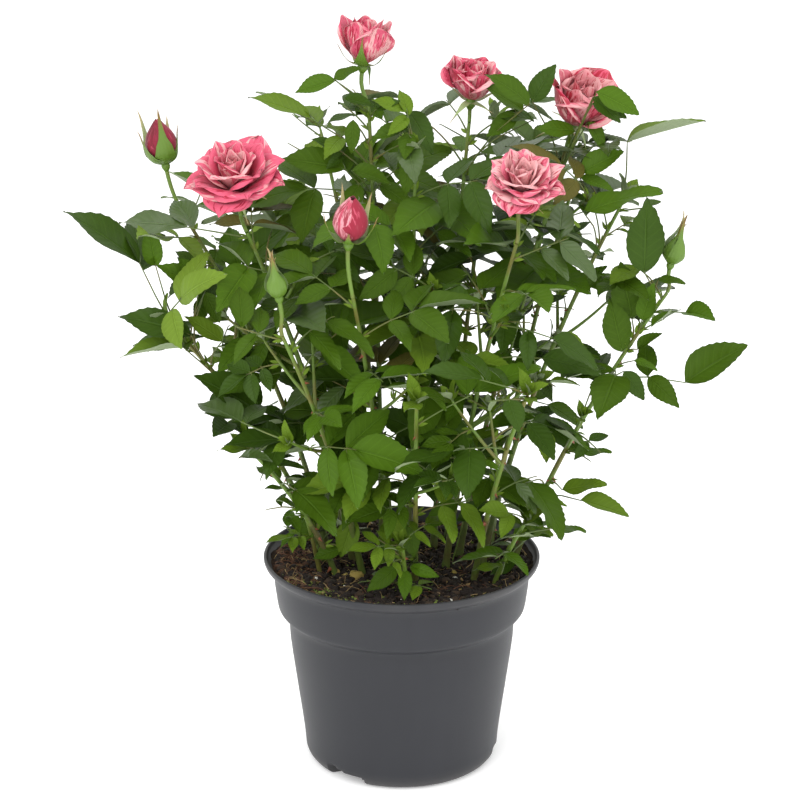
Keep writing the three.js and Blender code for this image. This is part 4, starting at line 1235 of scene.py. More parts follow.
class PotSettings(bpy.types.PropertyGroup):
    colour: colour_of((43, 44, 48), "Pot", "Colour of the plastic")
    wall: bpy.props.FloatProperty(
        name="Wall", description="Thickness of the pot's wall", default=POT["wall"] * MM, unit="LENGTH")
    segments: bpy.props.IntProperty(name="Segments", description="Faces round the pot", default=240)


class SoilSettings(bpy.types.PropertyGroup):
    dark: colour_of((30, 22, 17), "Peat", "Colour of the damp peat")
    brown: colour_of((54, 43, 32), "Dry peat", "Colour of its dry clods")
    moss: colour_of((104, 110, 46), "Moss", "Colour of the moss along the rim")
    relief: bpy.props.FloatProperty(
        name="Relief", description="Height of the clods", default=SOIL["relief"] * MM, unit="LENGTH")
    crumbs: bpy.props.IntProperty(name="Crumbs", description="Loose bits of peat", default=3400)


class PlantSettings(bpy.types.PropertyGroup):
    bark: colour_of((84, 102, 38), "Canes", "Colour of the canes")
    bark_tint: colour_of((92, 80, 42), "Cane tint", "Brown where the canes ripen")
    stem: colour_of((98, 126, 44), "Stems", "Colour of stems and leaf stalks")
    stem_tint: colour_of((112, 98, 48), "Stem tint", "Where the stems redden")
    leaf_stalk: colour_of((82, 102, 40), "Leaf stalks", "Colour of the leaf stalks")
    thorn: colour_of((134, 74, 44), "Thorns", "Colour of the thorns")
    underside: colour_of((132, 148, 108), "Undersides", "Colour of the leaves' undersides")


class BloomSettings(bpy.types.PropertyGroup):
    pink: colour_of((213, 86, 114), "Pink", "The petals' own colour")
    cream: colour_of((230, 176, 176), "Cream", "The light stripes")
    # crimson paints the dark stripes, and also the painted shade at each petal's foot
    crimson: colour_of((160, 16, 48), "Crimson", "The dark stripes")
    calyx: colour_of((92, 124, 36), "Calyx", "Colour of the green cups")


class StageSettings(bpy.types.PropertyGroup):
    floor: colour_of((254, 254, 254), "Floor", "Colour of the floor")
    sky: bpy.props.FloatProperty(name="Sky", description="Brightness all round", default=1.08)
    key: bpy.props.FloatProperty(
        name="Key light", description="Power of the main lamp", default=12.0, unit="POWER")
    glow: bpy.props.FloatProperty(
        name="Floor glow", description="How much the floor lights itself", default=0.22)


LEAF_KINDS = {
    # name: colour, roughness, shine, share
    "mature": ((62, 88, 14), 0.48, 0.1, 0.25),
    "deep": ((52, 77, 15), 0.44, 0.14, 0.22),
    "green": ((70, 100, 18), 0.48, 0.1, 0.23),
    "glossy": ((64, 86, 34), 0.36, 0.5, 0.15),
    "fresh": ((90, 116, 28), 0.5, 0.1, 0.09),
    "young": ((104, 130, 38), 0.5, 0.15, 0.04),
    "tinted": ((92, 88, 38), 0.5, 0.15, 0.03),
}


# the forms a leaflet takes: width, fold along the midrib, arch, wave of the margin and skew of the tip
LEAFLETS = (
    (0.5, 0.42, 0.1, 0.02), (0.46, 0.3, 0.2, 0.03, 0.03), (0.52, 0.6, 0.06, 0.015),
    (0.44, 0.34, 0.26, 0.03, -0.035), (0.49, 0.2, 0.12, 0.045), (0.45, 0.8, 0.14, 0.02, 0.02),
)


# ---- pot and soil


# the inner wall's radius where it meets the floor
FOOT_INNER = 58.2


def spun(profile, segments):
    """A closed body of turning from a profile of (radius, height)."""
    bm = bmesh.new()
    verts = [bm.verts.new((r, 0, z)) for r, z in profile]
    edges = [bm.edges.new(pair) for pair in zip(verts, verts[1:])]
    bmesh.ops.spin(
        bm, geom=verts + edges, cent=(0, 0, 0), axis=(0, 0, 1), dvec=(0, 0, 0), angle=2 * math.pi,
        steps=segments, use_merge=True, use_duplicate=False,
    )
    bmesh.ops.remove_doubles(bm, verts=bm.verts, dist=1e-4)
    bmesh.ops.recalc_face_normals(bm, faces=bm.faces)
    return bm


def arc_points(start, corner, end, steps):
    """A rounded corner from one profile point to the next."""
    curve = Path((*start, 0), (*corner, 0), (*end, 0))
    return [tuple(curve.at(t)[:2]) for t in np.linspace(0, 1, steps)]


def pot_profile(wall):
    """Radius and height, up the outside from under the floor, over the lip and down the inside."""
    outer = [(0, 0.5), (44, 0.5), (45.5, 0)]
    outer += arc_points((52.4, 0), (58.6, 0), (60.2, 6.5), 8)
    outer += [(r, z) for z, r in zip(np.linspace(7.5, 15, 6), np.linspace(60.3, 60.9, 6))]
    outer += [(61.95, 24), (63.3, 34), (64.95, 46), (66.55, 58), (67.9, 68), (69.2, 79)]
    outer += arc_points((69.7, 89), (69.95, 94.2), (71.9, 95.8), 5)
    outer += arc_points((73.6, 96.9), (75.9, 98.2), (76.4, 100.4), 5)
    outer += [(76.9, 103), (77.6, 108.5), (78.3, 114)]
    outer += arc_points((78.6, 119.8), (78.8, 123.8), (80.4, 125.2), 5)
    outer += arc_points((82, 126), (84, 127.4), (84.6, 129.3), 5)
    outer += [(84.8, 130.1), (84.85, 131)]
    outer += arc_points((84.85, 131.4), (84.6, 132), (84.1, 132), 4)
    inner = arc_points((83.6, 132), (83.1, 132), (83.0, 131.2), 4)
    inner += [(82.8, 130), (82.2, 128.8), (80.6, 127.4), (78.8, 125.8), (77.1, 123.4), (76.5, 119)]
    inner += [(76.2, 114.4), (75.3, 106), (74.5, 100.2), (72.3, 97.2), (70.3, 95.4), (68.3, 92.4)]
    inner += [(67.6, 86), (67.2, 79)]
    inner += [(64.6, 58), (61.3, 34), (58.9, 14)]
    inner += [(FOOT_INNER, 8 + wall), (55, 3.4 + wall), (50, 0.5 + wall), (0, 0.5 + wall)]
    return outer + inner


def notch_push(v, wall):
    """Draws the wall in where a drain notch is: deep at one side, running out softly at the other."""
    out = math.hypot(v.co.x, v.co.y)
    if out < NOTCH["outside"] or v.co.z > NOTCH["below"]:
        return
    turn = math.atan2(v.co.y, v.co.x)
    for k in range(NOTCH["count"]):
        middle = math.radians(NOTCH["turn"] + 360 / NOTCH["count"] * k)
        aside = ((turn - middle + math.pi) % (2 * math.pi) - math.pi) * NOTCH["round"]
        high = v.co.z - (wall if out < FOOT_INNER or v.co.z > 12 else 0)
        roof = mix(*NOTCH["roof"], float(smooth(*NOTCH["slope"], aside)))
        sides = smooth(*NOTCH["start"], aside) * smooth(*NOTCH["end"], aside)
        mask = float(sides * smooth(roof, roof - NOTCH["edge"], high))
        scale = mix(out, min(out, NOTCH["radius"]), mask) / out
        v.co.x *= scale
        v.co.y *= scale


def mesh_of(bm, name):
    """A bmesh in millimetres made a mesh."""
    bmesh.ops.scale(bm, vec=(MM, MM, MM), verts=bm.verts)
    mesh = bpy.data.meshes.new(name)
    bm.to_mesh(mesh)
    bm.free()
    return mesh


def build_pot(settings):
    wall = settings.wall / MM
    bm = spun(pot_profile(wall), settings.segments)
    for v in bm.verts:
        notch_push(v, wall)
    mesh = mesh_of(bm, "nursery_pot")
    mesh.materials.append(pot_material("pot_plastic", screen(settings.colour)))
    dress("nursery_pot", mesh, ["pot"], 50)


def soil_height(x, y):
    """The soil's lumpy top, heaped against the wall at both sides."""
    out = math.hypot(x, y)
    heap = SOIL["heaped"] * float(smooth(56, 78, out)) * (0.25 + 0.75 * (x / max(out, 1)) ** 2)
    clods = noise.fractal(Vector((x, y, 3.0)) * 0.09, 0.9, 2.1, 4)
    broad = noise.noise(Vector((x, y, 9.0)) * 0.03)
    return SOIL["level"] + 0.4 + heap + 1.1 * clods + 1.2 * broad


def build_soil(settings):
    lift = settings.relief / MM / SOIL["relief"]
    top = [(0, SOIL["level"])] + [(r, SOIL["level"]) for r in np.linspace(1.2, SOIL["edge"], 64)]
    side = [(77.2, 120.4), (76.9, 112), (75.2, 103), (69.6, 93), (66.4, 78), (58.2, 22), (45, 16), (0, 16)]
    bm = spun(top + side, 220)
    for v in bm.verts:
        if v.co.z > SOIL["level"] - 0.5:
            out = math.hypot(v.co.x, v.co.y)
            v.co.z = SOIL["level"] + (soil_height(v.co.x, v.co.y) - SOIL["level"]) * lift
            by_wall = float(smooth(66, SOIL["edge"], out))
            spread = 1 + 0.6 * max(0.0, v.co.z - SOIL["level"]) * by_wall / max(out, 1)
            v.co.x *= spread
            v.co.y *= spread
    mesh = mesh_of(bm, "peat_soil")
    colours = (screen(c) for c in (settings.dark, settings.brown, settings.moss))
    mesh.materials.append(soil_material("peat", *colours))
    dress("peat_soil", mesh, ["soil"], 80)


def crumb_template(seed, level):
    """A lump of about radius one."""
    bm = bmesh.new()
    bmesh.ops.create_icosphere(bm, subdivisions=level, radius=1)
    for v in bm.verts:
        v.co *= 1 + 0.45 * noise.noise(v.co * 1.3 + Vector((seed * 7.1, 0, 0)))
    return shape_of(bm)


def scattered(random, count, low, high, spread=None):
    """Places on the soil, with a size and two turns for each bit; spread gives the chance at a place."""
    places = []
    while len(places) < count:
        out, turn = 77.5 * math.sqrt(random()), 2 * math.pi * random()
        x, y = out * math.cos(turn), out * math.sin(turn)
        if spread and random() > spread(x, y):
            continue
        size = mix(low, high, random() ** 2.2)
        places.append((x, y, soil_height(x, y), size, ANY_PHASE * random(), ANY_PHASE * random()))
    return np.array(places)


def turned(turns, tilts):
    """Rotation matrices: a tilt over X, then a turn round Z."""
    c, s, a, b = np.cos(turns), np.sin(turns), np.cos(tilts), np.sin(tilts)
    rows = (c, -s * a, s * b), (s, c * a, -c * b), (np.zeros_like(c), b, a)
    return np.stack([np.stack(row, 1) for row in rows], 1)


def strew(heap, random, templates, places, stretch, kind):
    """Puts a bit at each place, the templates taken in turn."""
    for number, template in enumerate(templates):
        mine = places[number::len(templates)]
        sizes = mine[:, 3][:, None] * np.array([[mix(1, by, random()) for by in stretch] for _ in mine])
        shaped = template.verts[None] * sizes[:, None]
        spots = np.einsum("mij,mnj->mni", turned(mine[:, 4], mine[:, 5]), shaped)
        centre = mine[:, :3].copy()
        centre[:, 2] += mine[:, 3] * 0.25
        heap.add(spots + centre[:, None], template, kind)


def by_left_rim(x, y):
    return 1.0 if x < -56 and y < 30 else 0.01


def by_front_rim(x, y):
    return 1.0 if math.hypot(x, y) > 58 and y < -24 and x < 24 else 0.04


# loose bits on the soil: how many to each crumb of dark peat, sizes, stretch along X, Y and Z, and where
Bits = namedtuple("Bits", "name colour rough share low high stretch where", defaults=(None,))
CRUMBS = (
    Bits("peat_dark", (34, 25, 20), 0.95, 1, 0.5, 2.5, (1.7, 0.8, 0.7)),
    Bits("peat_brown", (62, 48, 36), 0.95, 0.3333, 0.5, 2.3, (2.2, 0.7, 0.6)),
    Bits("bark_chips", (150, 122, 84), 0.85, 0.0713, 0.4, 1.5, (2.4, 0.7, 0.6)),
    Bits("peat_red", (84, 56, 40), 0.9, 0.1235, 0.5, 2.0, (2.6, 0.6, 0.6), by_left_rim),
    Bits("moss_crumbs", (116, 132, 58), 0.9, 0.5, 0.3, 1.0, (1.6, 0.8, 0.9), by_front_rim),
)
# tan beads of feed on the soil: x, y and size
BEADS = ((-40, -14, 2.4), (-34, -19, 1.8), (-27, -19, 3.6), (-30, -17, 2.8), (32, -12, 1.6))


def strew_crumbs(settings, random):
    lumps, heap = [crumb_template(k, 1) for k in range(4)], Heap()
    for kind, bits in enumerate(CRUMBS):
        places = scattered(random, round(settings.crumbs * bits.share), bits.low, bits.high, bits.where)
        strew(heap, random, lumps, places, bits.stretch, kind)
    heap.build("soil_crumbs", [plain_material(b.name, b.colour, b.rough) for b in CRUMBS], "soil")


def strew_perlite(random):
    lumps, heap = [crumb_template(k + 9, 2) for k in range(3)], Heap()
    strew(heap, random, lumps, scattered(random, 26, 0.6, 2.1), (1.3, 0.9, 0.8), 0)
    beads = np.array([(x, y, soil_height(x, y) + 0.8, size, x * 3.0, 0.4) for x, y, size in BEADS])
    strew(heap, random, lumps, beads, (1.35, 0.9, 0.8), 1)
    white = plain_material("perlite_white", (226, 222, 212), 0.9)
    heap.build("perlite", [white, plain_material("tan_beads", (158, 138, 70), 0.8)], "soil")


def lay_fibres(random):
    """Root fibres that lie curled on the soil, most of the reddish ones by the left rim."""
    heap, steps = Heap(), 6
    for number in range(430):
        reddish = number % 2 == 0
        elsewhere = 0.06 if reddish else 0.3
        while True:
            out, turn = 78 * math.sqrt(random()), ANY_WAY * random()
            x, y = out * math.cos(turn), out * math.sin(turn)
            if random() < (1.0 if x < -54 and y < 35 else elsewhere):
                break
        bend, length, curl = ANY_WAY * random(), mix(4, 17, random()), mix(-1.6, 1.6, random())
        points = [(x, y)]
        for _ in range(steps):
            bend += curl / steps
            x, y = points[-1]
            points.append((x + math.cos(bend) * length / steps, y + math.sin(bend) * length / steps))
        points = [(a, b) for a, b in points if math.hypot(a, b) < 79]
        if len(points) < 4:
            continue
        hump = mix(0.4, 3.0, random() ** 2)
        lift = [0.35 + hump * math.sin(math.pi * k / (len(points) - 1)) for k in range(len(points))]
        line = [(a, b, soil_height(a, b) + c) for (a, b), c in zip(points, lift)]
        thick = mix(0.11, 0.26, random())
        heap.limb(line, [thick] * len(line), 4, 0 if reddish else 1)
    red = plain_material("fibre_red", (100, 66, 46), 0.85)
    heap.build("root_fibres", [red, plain_material("fibre_tan", (158, 134, 92), 0.85)], "soil")


def build_litter(settings):
    random = seeded(5151)
    strew_crumbs(settings, random)
    strew_perlite(random)
    lay_fibres(random)


# ---- canes, stems and thorns


@functools.lru_cache(None)
def bush():
    return Bush()


def limb_rings(path, start, end, spacing):
    """Shares and points along a limb, about so far apart."""
    shares = np.linspace(start, end, max(4, round(path.length * (end - start) / spacing)))
    return shares, path.point(shares)


def bark_relief(points, sides, phase, bud):
    """Lumps on a cane's bark, and a ring where each leaf once stood."""
    relief = np.zeros((len(points), sides))
    for i, p in enumerate(points):
        for k in range(sides):
            turn = 2 * math.pi * k / sides
            lumps, grain = (
                noise.noise(Vector((math.cos(turn) * wide, math.sin(turn) * wide, p[2] * tall + phase)))
                for wide, tall in ((1.6, 0.11), (4, 0.5))
            )
            relief[i, k] = 0.22 * lumps + 0.09 * grain
        scar = abs((p[2] - SOIL["level"] + bud) % 19 - 9.5)
        relief[i] += 0.28 * math.exp(-(scar / 1.3) ** 2)
    return relief


def build_canes(settings):
    heap, random, grown, sides = Heap(), seeded(77), bush(), 14
    for cane in CANES:
        shares, points = limb_rings(grown.paths[cane.name], 0, cane.bare + 0.004, 1.6)
        along = shares / cane.bare
        radii = mix(cane.radius * 0.88, CANE["tip_radius"] + 0.3, along) * (1 + 0.3 * np.exp(-along * 11))
        points[0, 2] -= 1.6
        relief = bark_relief(points, sides, random() * 9, random() * 12)
        heap.limb(points, radii, sides, 0, relief)
    material = stem_material("cane_bark", screen(settings.bark), screen(settings.bark_tint), 0.55)
    heap.build("canes", [material], "canes", ["cane_" + cane.name for cane in CANES], 80)


def tapered(radii, shares):
    """A limb's thickness, drawn in to a point over its last part."""
    return radii * np.sqrt(np.clip((1 - shares) / 0.05, 0.02, 1))


def build_stems(settings):
    heap, grown = Heap(), bush()
    bearing = {flower.cane for flower in FLOWERS}
    for cane, bough in grown.plants:
        path = grown.paths[cane.name]
        start = cane.bare - 0.004 if bough else 0
        shares, points = limb_rings(path, start, 1, 4)
        if not bough:
            points[0, 2] -= 1.5
        foot = min(TWIG["foot_radius"], cane.radius) + 0.1
        radii = mix(foot, TWIG["tip_radius"], (shares - start) / (1 - start))
        radii = radii * (1 + 0.1 * np.exp(-((((shares * path.length) % 21) - 10.5) / 1.8) ** 2))
        heap.limb(points, radii if cane.name in bearing else tapered(radii, shares), 9)
    for _, twig in grown.twigs:
        shares, points = limb_rings(twig, 0, 1, 4)
        heap.limb(points, tapered(mix(1.2, 0.7, shares), shares), 7)
    for flower, stalk in grown.stalks:
        shares, points = limb_rings(stalk, 0, 1, 3)
        points = np.vstack([points, points[-1] + vec(*flower.faces) * flower.look.lift])
        heap.limb(points, np.append(mix(1.15, 1.3, shares**3), 1.3), 9)
    # leaf stalks: along the bend to the fork, on to the end leaflet and a little way into it
    for leaf in (g.leaf for g in grown.leaves):
        points = [leaf.arc.at(t) for t in (0, 0.11, 0.22, 0.34, 0.45, LEAF["fork"])]
        points += [mix(leaf.fork, leaf.end, s) for s in (0.38, LEAF["upper_at"], 1)]
        points.append(leaf.end + leaf.blades[0].line * leaf.blades[0].length * 0.06)
        heap.limb(points, [0.85, 0.58, 0.52, 0.5, 0.48, 0.45, 0.42, 0.38, 0.33, 0.22], 6, 1)
    for blade in (b for g in grown.leaves for b in g.blades if b.pair):
        tip = blade.foot + blade.line * blade.length * 0.07
        points = [blade.place, blade.place + blade.line * 1.2, tip]
        heap.limb(points, [0.36, 0.32, 0.22], 5, 1)
    material = stem_material("green_stems", screen(settings.stem), screen(settings.stem_tint), 0.48)
    stalks = stem_material("leaf_stalks", screen(settings.leaf_stalk), screen(settings.stem_tint), 0.5)
    heap.build("stems", [material, stalks], "canes", (), 80)


def build_thorns(settings):
    heap, grown, random = Heap(), bush(), seeded(911)
    for cane, bough in grown.plants:
        path = grown.paths[cane.name]
        for _ in range(8 if bough else 2):
            share = mix(0.03, 0.8, random())
            place, tangent = path.point(share), path.tangent(share)
            away = away_from(tangent, ANY_WAY * random())
            radius = 1.2 if share > cane.bare else mix(cane.radius, 1.7, share / cane.bare)
            size = mix(2.2, 4.2, random()) * (1 if share < 0.5 else 0.75)
            foot = place + away * (radius - 0.6)
            # hooked down, and drawn out along the cane below
            points = [foot + away * size * s - tangent * size * 0.45 * s * s for s in (0, 0.3, 0.65, 1)]
            corners = tube(points, [size * 0.36, size * 0.22, size * 0.1, 0.03], 6).reshape(4, 6, 3)
            middle = corners.mean(1, keepdims=True)
            corners = corners + tangent * ((corners - middle) @ tangent)[..., None] * 0.6
            heap.add(corners.reshape(-1, 3), tube_shape(6, 4))
    heap.build("thorns", [plain_material("thorn", screen(settings.thorn), 0.5)], "canes", (), 80)


# ---- leaves


def leaf_kind(grown, random):
    """Which colour a leaf has: light on low shoots, young at the tips, tinted high up."""
    if grown.cane.size < 0.7:
        return "fresh" if random() < 0.55 else "green"
    weights = {name: kind[3] for name, kind in LEAF_KINDS.items()}
    weights["young"] *= 0.3 + 2.2 * max(0.0, grown.share - 0.5) * 2 * random()
    weights["tinted"] *= 0.2 + 2.0 * float(smooth(300, 400, grown.leaf.end[2]))
    draw = random() * sum(weights.values())
    for name, weight in weights.items():
        draw -= weight
        if draw <= 0:
            return name
    return "mature"


def build_leaves(settings):
    grown, random = bush(), seeded(404)
    templates = [leaflet_template(*form) for form in LEAFLETS]
    stipule = leaflet_template(0.34, 0.5, 0.1, 0, rows=4, tooth=0)
    sets = {name: [[] for _ in templates] for name in LEAF_KINDS}
    spurs = []
    for item in grown.leaves:
        kind = leaf_kind(item, random)
        if item.chosen and kind in ("glossy", "tinted"):
            kind = "deep"
        for blade in item.blades:
            pick = int(random() * (len(templates) - 0.001))
            sets[kind][pick].append(instance(blade, random, 0.3 if item.chosen else 1.0))
        # the pair of stipules at the leaf's foot
        leaf = item.leaf
        way = unit(leaf.arc.at(0.12) - leaf.start)
        side = unit(cross(way, leaf.blades[0].face))
        for hand in (1, -1):
            line = unit(way + side * hand * 0.34)
            face = unit(cross(side, way))
            spurs.append(frame_of(leaf.start + way * 0.8 + side * hand * 0.4, line, face, 6.5, 6.5))
    # the unopened leaflets at every tip that bears no flower
    bearing = {flower.cane for flower in FLOWERS}
    tips = [(grown.paths[cane.name], 1.0) for cane, _ in grown.plants if cane.name not in bearing]
    for path, size in tips + [(twig, 0.8) for _, twig in grown.twigs]:
        end, tangent = path.point(1), path.tangent(1)
        for k in range(5):
            away = away_from(tangent, 2.4 * k + size)
            line = unit(tangent + away * mix(0.15, 1.0, k / 4))
            length = mix(9, 20, k / 4) * size * mix(0.8, 1.15, random())
            frame = frame_of(end - tangent * k * 1.2, line, unit(tangent - away * 0.3), length, length)
            sets["young" if k < 3 else "fresh"][k % len(templates)].append(frame)
    nodes = ["leaves_" + cane.name for cane, _ in grown.plants]
    under = underside_material("leaf_underside", screen(settings.underside))
    for name, (colour, rough, shine, _) in LEAF_KINDS.items():
        heap = Heap()
        for template, frames in zip(templates, sets[name]):
            if frames:
                heap.add(placed(template, frames), template)
        if name == "young":
            heap.add(placed(stipule, spurs), stipule)
        material = leaf_material("leaf_" + name, colour, rough, shine)
        stands_for = nodes if name == "mature" else ()
        heap.build("leaves_" + name, [material, under], "foliage", stands_for, 70, ("own", "OFBake"))


def frame_of(place, line, face, length, width):
    """Where a template goes: its X, Y and Z as they lie on the plant, and its place."""
    face = unit(face - line * (face @ line))
    return np.array([cross(line, face) * width, line * length, face * length, place])


def instance(blade, random, free):
    """One leaflet's own turn and size; free is how far it may turn towards the light."""
    roll = math.radians(mix(-20, 20, random())) * free
    back = float(smooth(30, 90, blade.foot[1]))
    face = unit(blade.face + vec(0, back, 1) * mix(0.4 * back, 1.3 * free, random()))
    face = unit(face - blade.line * (face @ blade.line))
    side = cross(blade.line, face)
    face = face * math.cos(roll) + side * math.sin(roll)
    line = unit(blade.line - face * mix(-0.14, 0.12, random()))
    return frame_of(blade.foot, line, face, blade.length, blade.length * mix(0.9, 1.1, random()))


def placed(template, frames):
    """A template's corners at every frame."""
    frames = np.array(frames)
    return np.einsum("nj,mjk->mnk", template.verts, frames[:, :3]) + frames[:, 3][:, None]


# ---- roses and buds


@functools.lru_cache(None)
def sheet_shape(cols, rows):
    """A thin closed sheet's faces; its corners hold how far across, how far along and which side."""
    bm = bmesh.new()
    bmesh.ops.create_grid(bm, x_segments=cols, y_segments=rows, size=1)
    layer = bm.loops.layers.uv.new("own")
    for face in bm.faces:
        for loop in face.loops:
            loop[layer].uv = (loop.vert.co.x * 0.49 + 0.5, loop.vert.co.y * 0.49 + 0.5)
    return with_underside(bm, lambda y: 1, 0)


# start and rise: where its foot is; angles and shape: its lean and its width along its length;
# roll, tip and ruffle: how its sides, its tip and its margin bend; spiral: how far it laps over the next
Petal = namedtuple(
    "Petal", "length half angles start rise roll tip cup spiral turn shape ruffle thick", defaults=(0.3,))


def petal_corners(petal, cols, rows):
    """A petal's corners in the flower's own frame: its foot near the axis, its face to the axis."""
    shape = sheet_shape(cols, rows)
    t, s = np.linspace(0, 1, rows + 1), np.linspace(-1, 1, cols + 1)
    # along the petal: out from the axis and up
    fine = np.linspace(0, 1, 81)
    angle = np.interp(fine, np.linspace(0, 1, len(petal.angles)), petal.angles)
    angle = angle + petal.tip * np.clip((fine - 0.74) / 0.26, 0, 1) ** 1.6
    step = petal.length / (len(fine) - 1)
    out = petal.start + np.concatenate([[0], np.cumsum(np.sin(angle[:-1]) * step)])
    up = petal.rise + np.concatenate([[0], np.cumsum(np.cos(angle[:-1]) * step)])
    # across it: cupped in the middle, rolled back towards its edges
    half = petal.half * np.interp(t, *petal.shape)
    many = 60
    q = np.linspace(0, 1, many + 1)
    strong = np.interp(t, (0, 0.35, 0.8, 1), (0.05, 0.3, 1, 1))[:, None]
    radius = np.maximum(np.interp(t, fine, out), 2.2) * petal.cup
    bend = np.minimum(half / radius, 2.7)[:, None] * np.minimum(q, 0.62 if petal.roll > 0.1 else 0.95)
    bend = bend - petal.roll * strong * np.clip((q - 0.55) / 0.45, 0, 1) ** 1.5
    x, y = (
        np.array([
            np.interp(np.abs(s), q, row) for row in
            np.concatenate([np.zeros((rows + 1, 1)), np.cumsum(part, 1) / many], 1) * half[:, None]
        ])
        for part in (np.cos(bend[:, :-1]), np.sin(bend[:, :-1]))
    )
    x = x * np.sign(s)
    short = t[:, None] * (1 - 0.13 * s[None] ** 2)
    r, z, a = (np.interp(short, fine, values) for values in (out, up, angle))
    wave = petal.ruffle * t[:, None] ** 2 * np.sin(s * 4.3 + petal.turn * 3) * (0.4 + np.abs(s))
    y = y + wave + petal.spiral * s * t[:, None]
    corners = np.stack([r - y * np.cos(a), x, z + y * np.sin(a)], -1)
    # the sheet's corners, the lower ones set in by its thickness
    normal = np.cross(np.gradient(corners, axis=1), np.gradient(corners, axis=0))
    normal /= np.maximum(np.linalg.norm(normal, axis=-1), 1e-9)[..., None]
    i = np.rint((shape.verts[:, 1] + 1) / 2 * rows).astype(int)
    j = np.rint((shape.verts[:, 0] + 1) / 2 * cols).astype(int)
    found = corners[i, j] + normal[i, j] * (shape.verts[:, 2] * petal.thick)[:, None]
    c, d = math.cos(petal.turn), math.sin(petal.turn)
    return found @ np.array([[c, d, 0], [-d, c, 0], [0, 0, 1]]), shape


# the width of a petal or sepal along its length, as shares of the widest
BLUNT = ((0, 0.12, 0.3, 0.5, 0.68, 0.82, 0.93, 1), (0.3, 0.45, 0.76, 0.95, 1, 0.93, 0.72, 0.4))
SHARP = ((0, 0.12, 0.3, 0.5, 0.66, 0.8, 0.91, 1), (0.3, 0.5, 0.85, 1, 0.98, 0.8, 0.46, 0.05))
POINTED = ((0, 0.12, 0.3, 0.5, 0.66, 0.8, 0.91, 1), (0.3, 0.45, 0.76, 0.96, 1, 0.92, 0.7, 0.26))
SEPAL = ((0, 0.12, 0.3, 0.5, 0.68, 0.85, 1), (0.75, 1, 0.92, 0.6, 0.3, 0.14, 0.05))
HUSK = ((0, 0.12, 0.3, 0.5, 0.62, 0.75, 0.88, 1), (0.6, 0.95, 1, 0.72, 0.38, 0.24, 0.18, 0.06))
# a bud narrower than this is still green
GREEN_BUD = 14
# sepals' lean along their length, in degrees from the bloom's axis
GREEN_HUSK, BUD_FRONT, CUP_FRONT = (70, 32, -6, -36, -22, -2, 42), (80, 64, 36, 14, 4), (88, 56, 28, 12, 2)
BUD_PETAL = (66, 37, -4, -36, -46)


def cup_petals(flower, random):
    """A half-open bloom: petals that wrap round one another like a cup."""
    rim, open_, count = flower.width / 2, flower.open, flower.look.petals
    for k in range(count):
        o = (k / (count - 1)) ** 0.9
        angles = (
            mix(24, 74, o), mix(8, mix(38, 58, open_), o), mix(-2, mix(10, 44, open_), o),
            mix(-10, mix(0, 30, open_), o), mix(-16, mix(-8, 26, open_), o),
        )
        yield Petal(
            length=flower.height * mix(0.82, mix(1.12, 1.02, open_), o) * mix(0.93, 1.05, random()),
            half=mix(rim * 0.55, rim * 1.02, o),
            angles=[math.radians(a + mix(-4, 4, random())) for a in angles],
            start=mix(0.4, 1.6, o), rise=-flower.height / 2 - 0.8 * o, roll=mix(0.2, mix(0.9, 2.6, open_), o),
            tip=math.radians(mix(6, mix(28, 100, open_), o)) * mix(0.4, 1.3, random()), cup=mix(1.0, 1.12, o),
            spiral=mix(1.6, 0.8, o), turn=GOLDEN_ANGLE * k + mix(-0.2, 0.2, random()),
            shape=POINTED if open_ > 0.5 and o > 0.45 else BLUNT, ruffle=mix(0.3, 0.8, o),
        )


def open_petals(flower, random):
    """A full bloom: a tight heart, then whorls that spread, their margins rolled back to points."""
    rim, open_ = flower.width / 2, flower.open
    count = 29
    for k in range(count):
        o = k / (count - 1)
        heart = min(1, o / 0.52)
        spread = max(0.0, (o - 0.38) / 0.62)
        first = mix(mix(14, 34, heart), 44, spread)
        middle = mix(mix(-6, 12, heart), mix(52, 74, open_), spread**1.1)
        last = mix(mix(-14, 20, heart), mix(66, 88, open_), spread)
        angles = [math.radians(a + mix(-5, 5, random())) for a in (first, middle, last)]
        reach = mix(flower.height * mix(0.72, 0.92, heart), rim * 1.14 + 1, spread)
        outer = o > 0.7
        yield Petal(
            length=reach * (mix(0.88, 1.2, random()) if outer else mix(0.95, 1.05, random())),
            half=mix(rim * mix(0.26, 0.46, heart), rim * 0.66, spread) * mix(0.88, 1.12, random()),
            angles=angles, start=mix(0.5, 3.2, o), rise=-flower.height / 2 - 1.0 * o,
            roll=mix(mix(0.3, 1.3, heart), 3.1, spread) * mix(0.8, 1.15, random()),
            tip=math.radians(mix(mix(4, 40, heart), 62, spread)) * mix(0.6, 1.25, random()),
            cup=mix(1.0, 1.5, spread), spiral=mix(1.2, 0.4, spread),
            turn=GOLDEN_ANGLE * k + mix(-0.15, 0.15, random()),
            shape=SHARP if outer else POINTED if o > 0.3 else BLUNT, ruffle=mix(0.3, 1.1, spread),
        )


def bud_petals(flower, random):
    """Petals wound to a point inside a bud's sepals."""
    front = math.radians(flower.look.first - 24)
    green = flower.width < GREEN_BUD
    tall, wide = (flower.height * 0.7, 9.0) if green else (flower.height + 4, flower.width)
    count = -flower.look.petals
    for k in range(count):
        yield Petal(
            length=tall * mix(0.98, 1.04, random()), half=wide * (0.46 if k == count - 1 else 0.6),
            angles=[math.radians(a) for a in BUD_PETAL], start=0.3 + 0.1 * k,
            rise=-flower.height / 2 - 1.5, roll=0.06, tip=0.0, cup=1.0, spiral=0.9,
            turn=2.4 * (k - count + 1) + front, shape=BLUNT, ruffle=0.1, thick=0.25,
        )


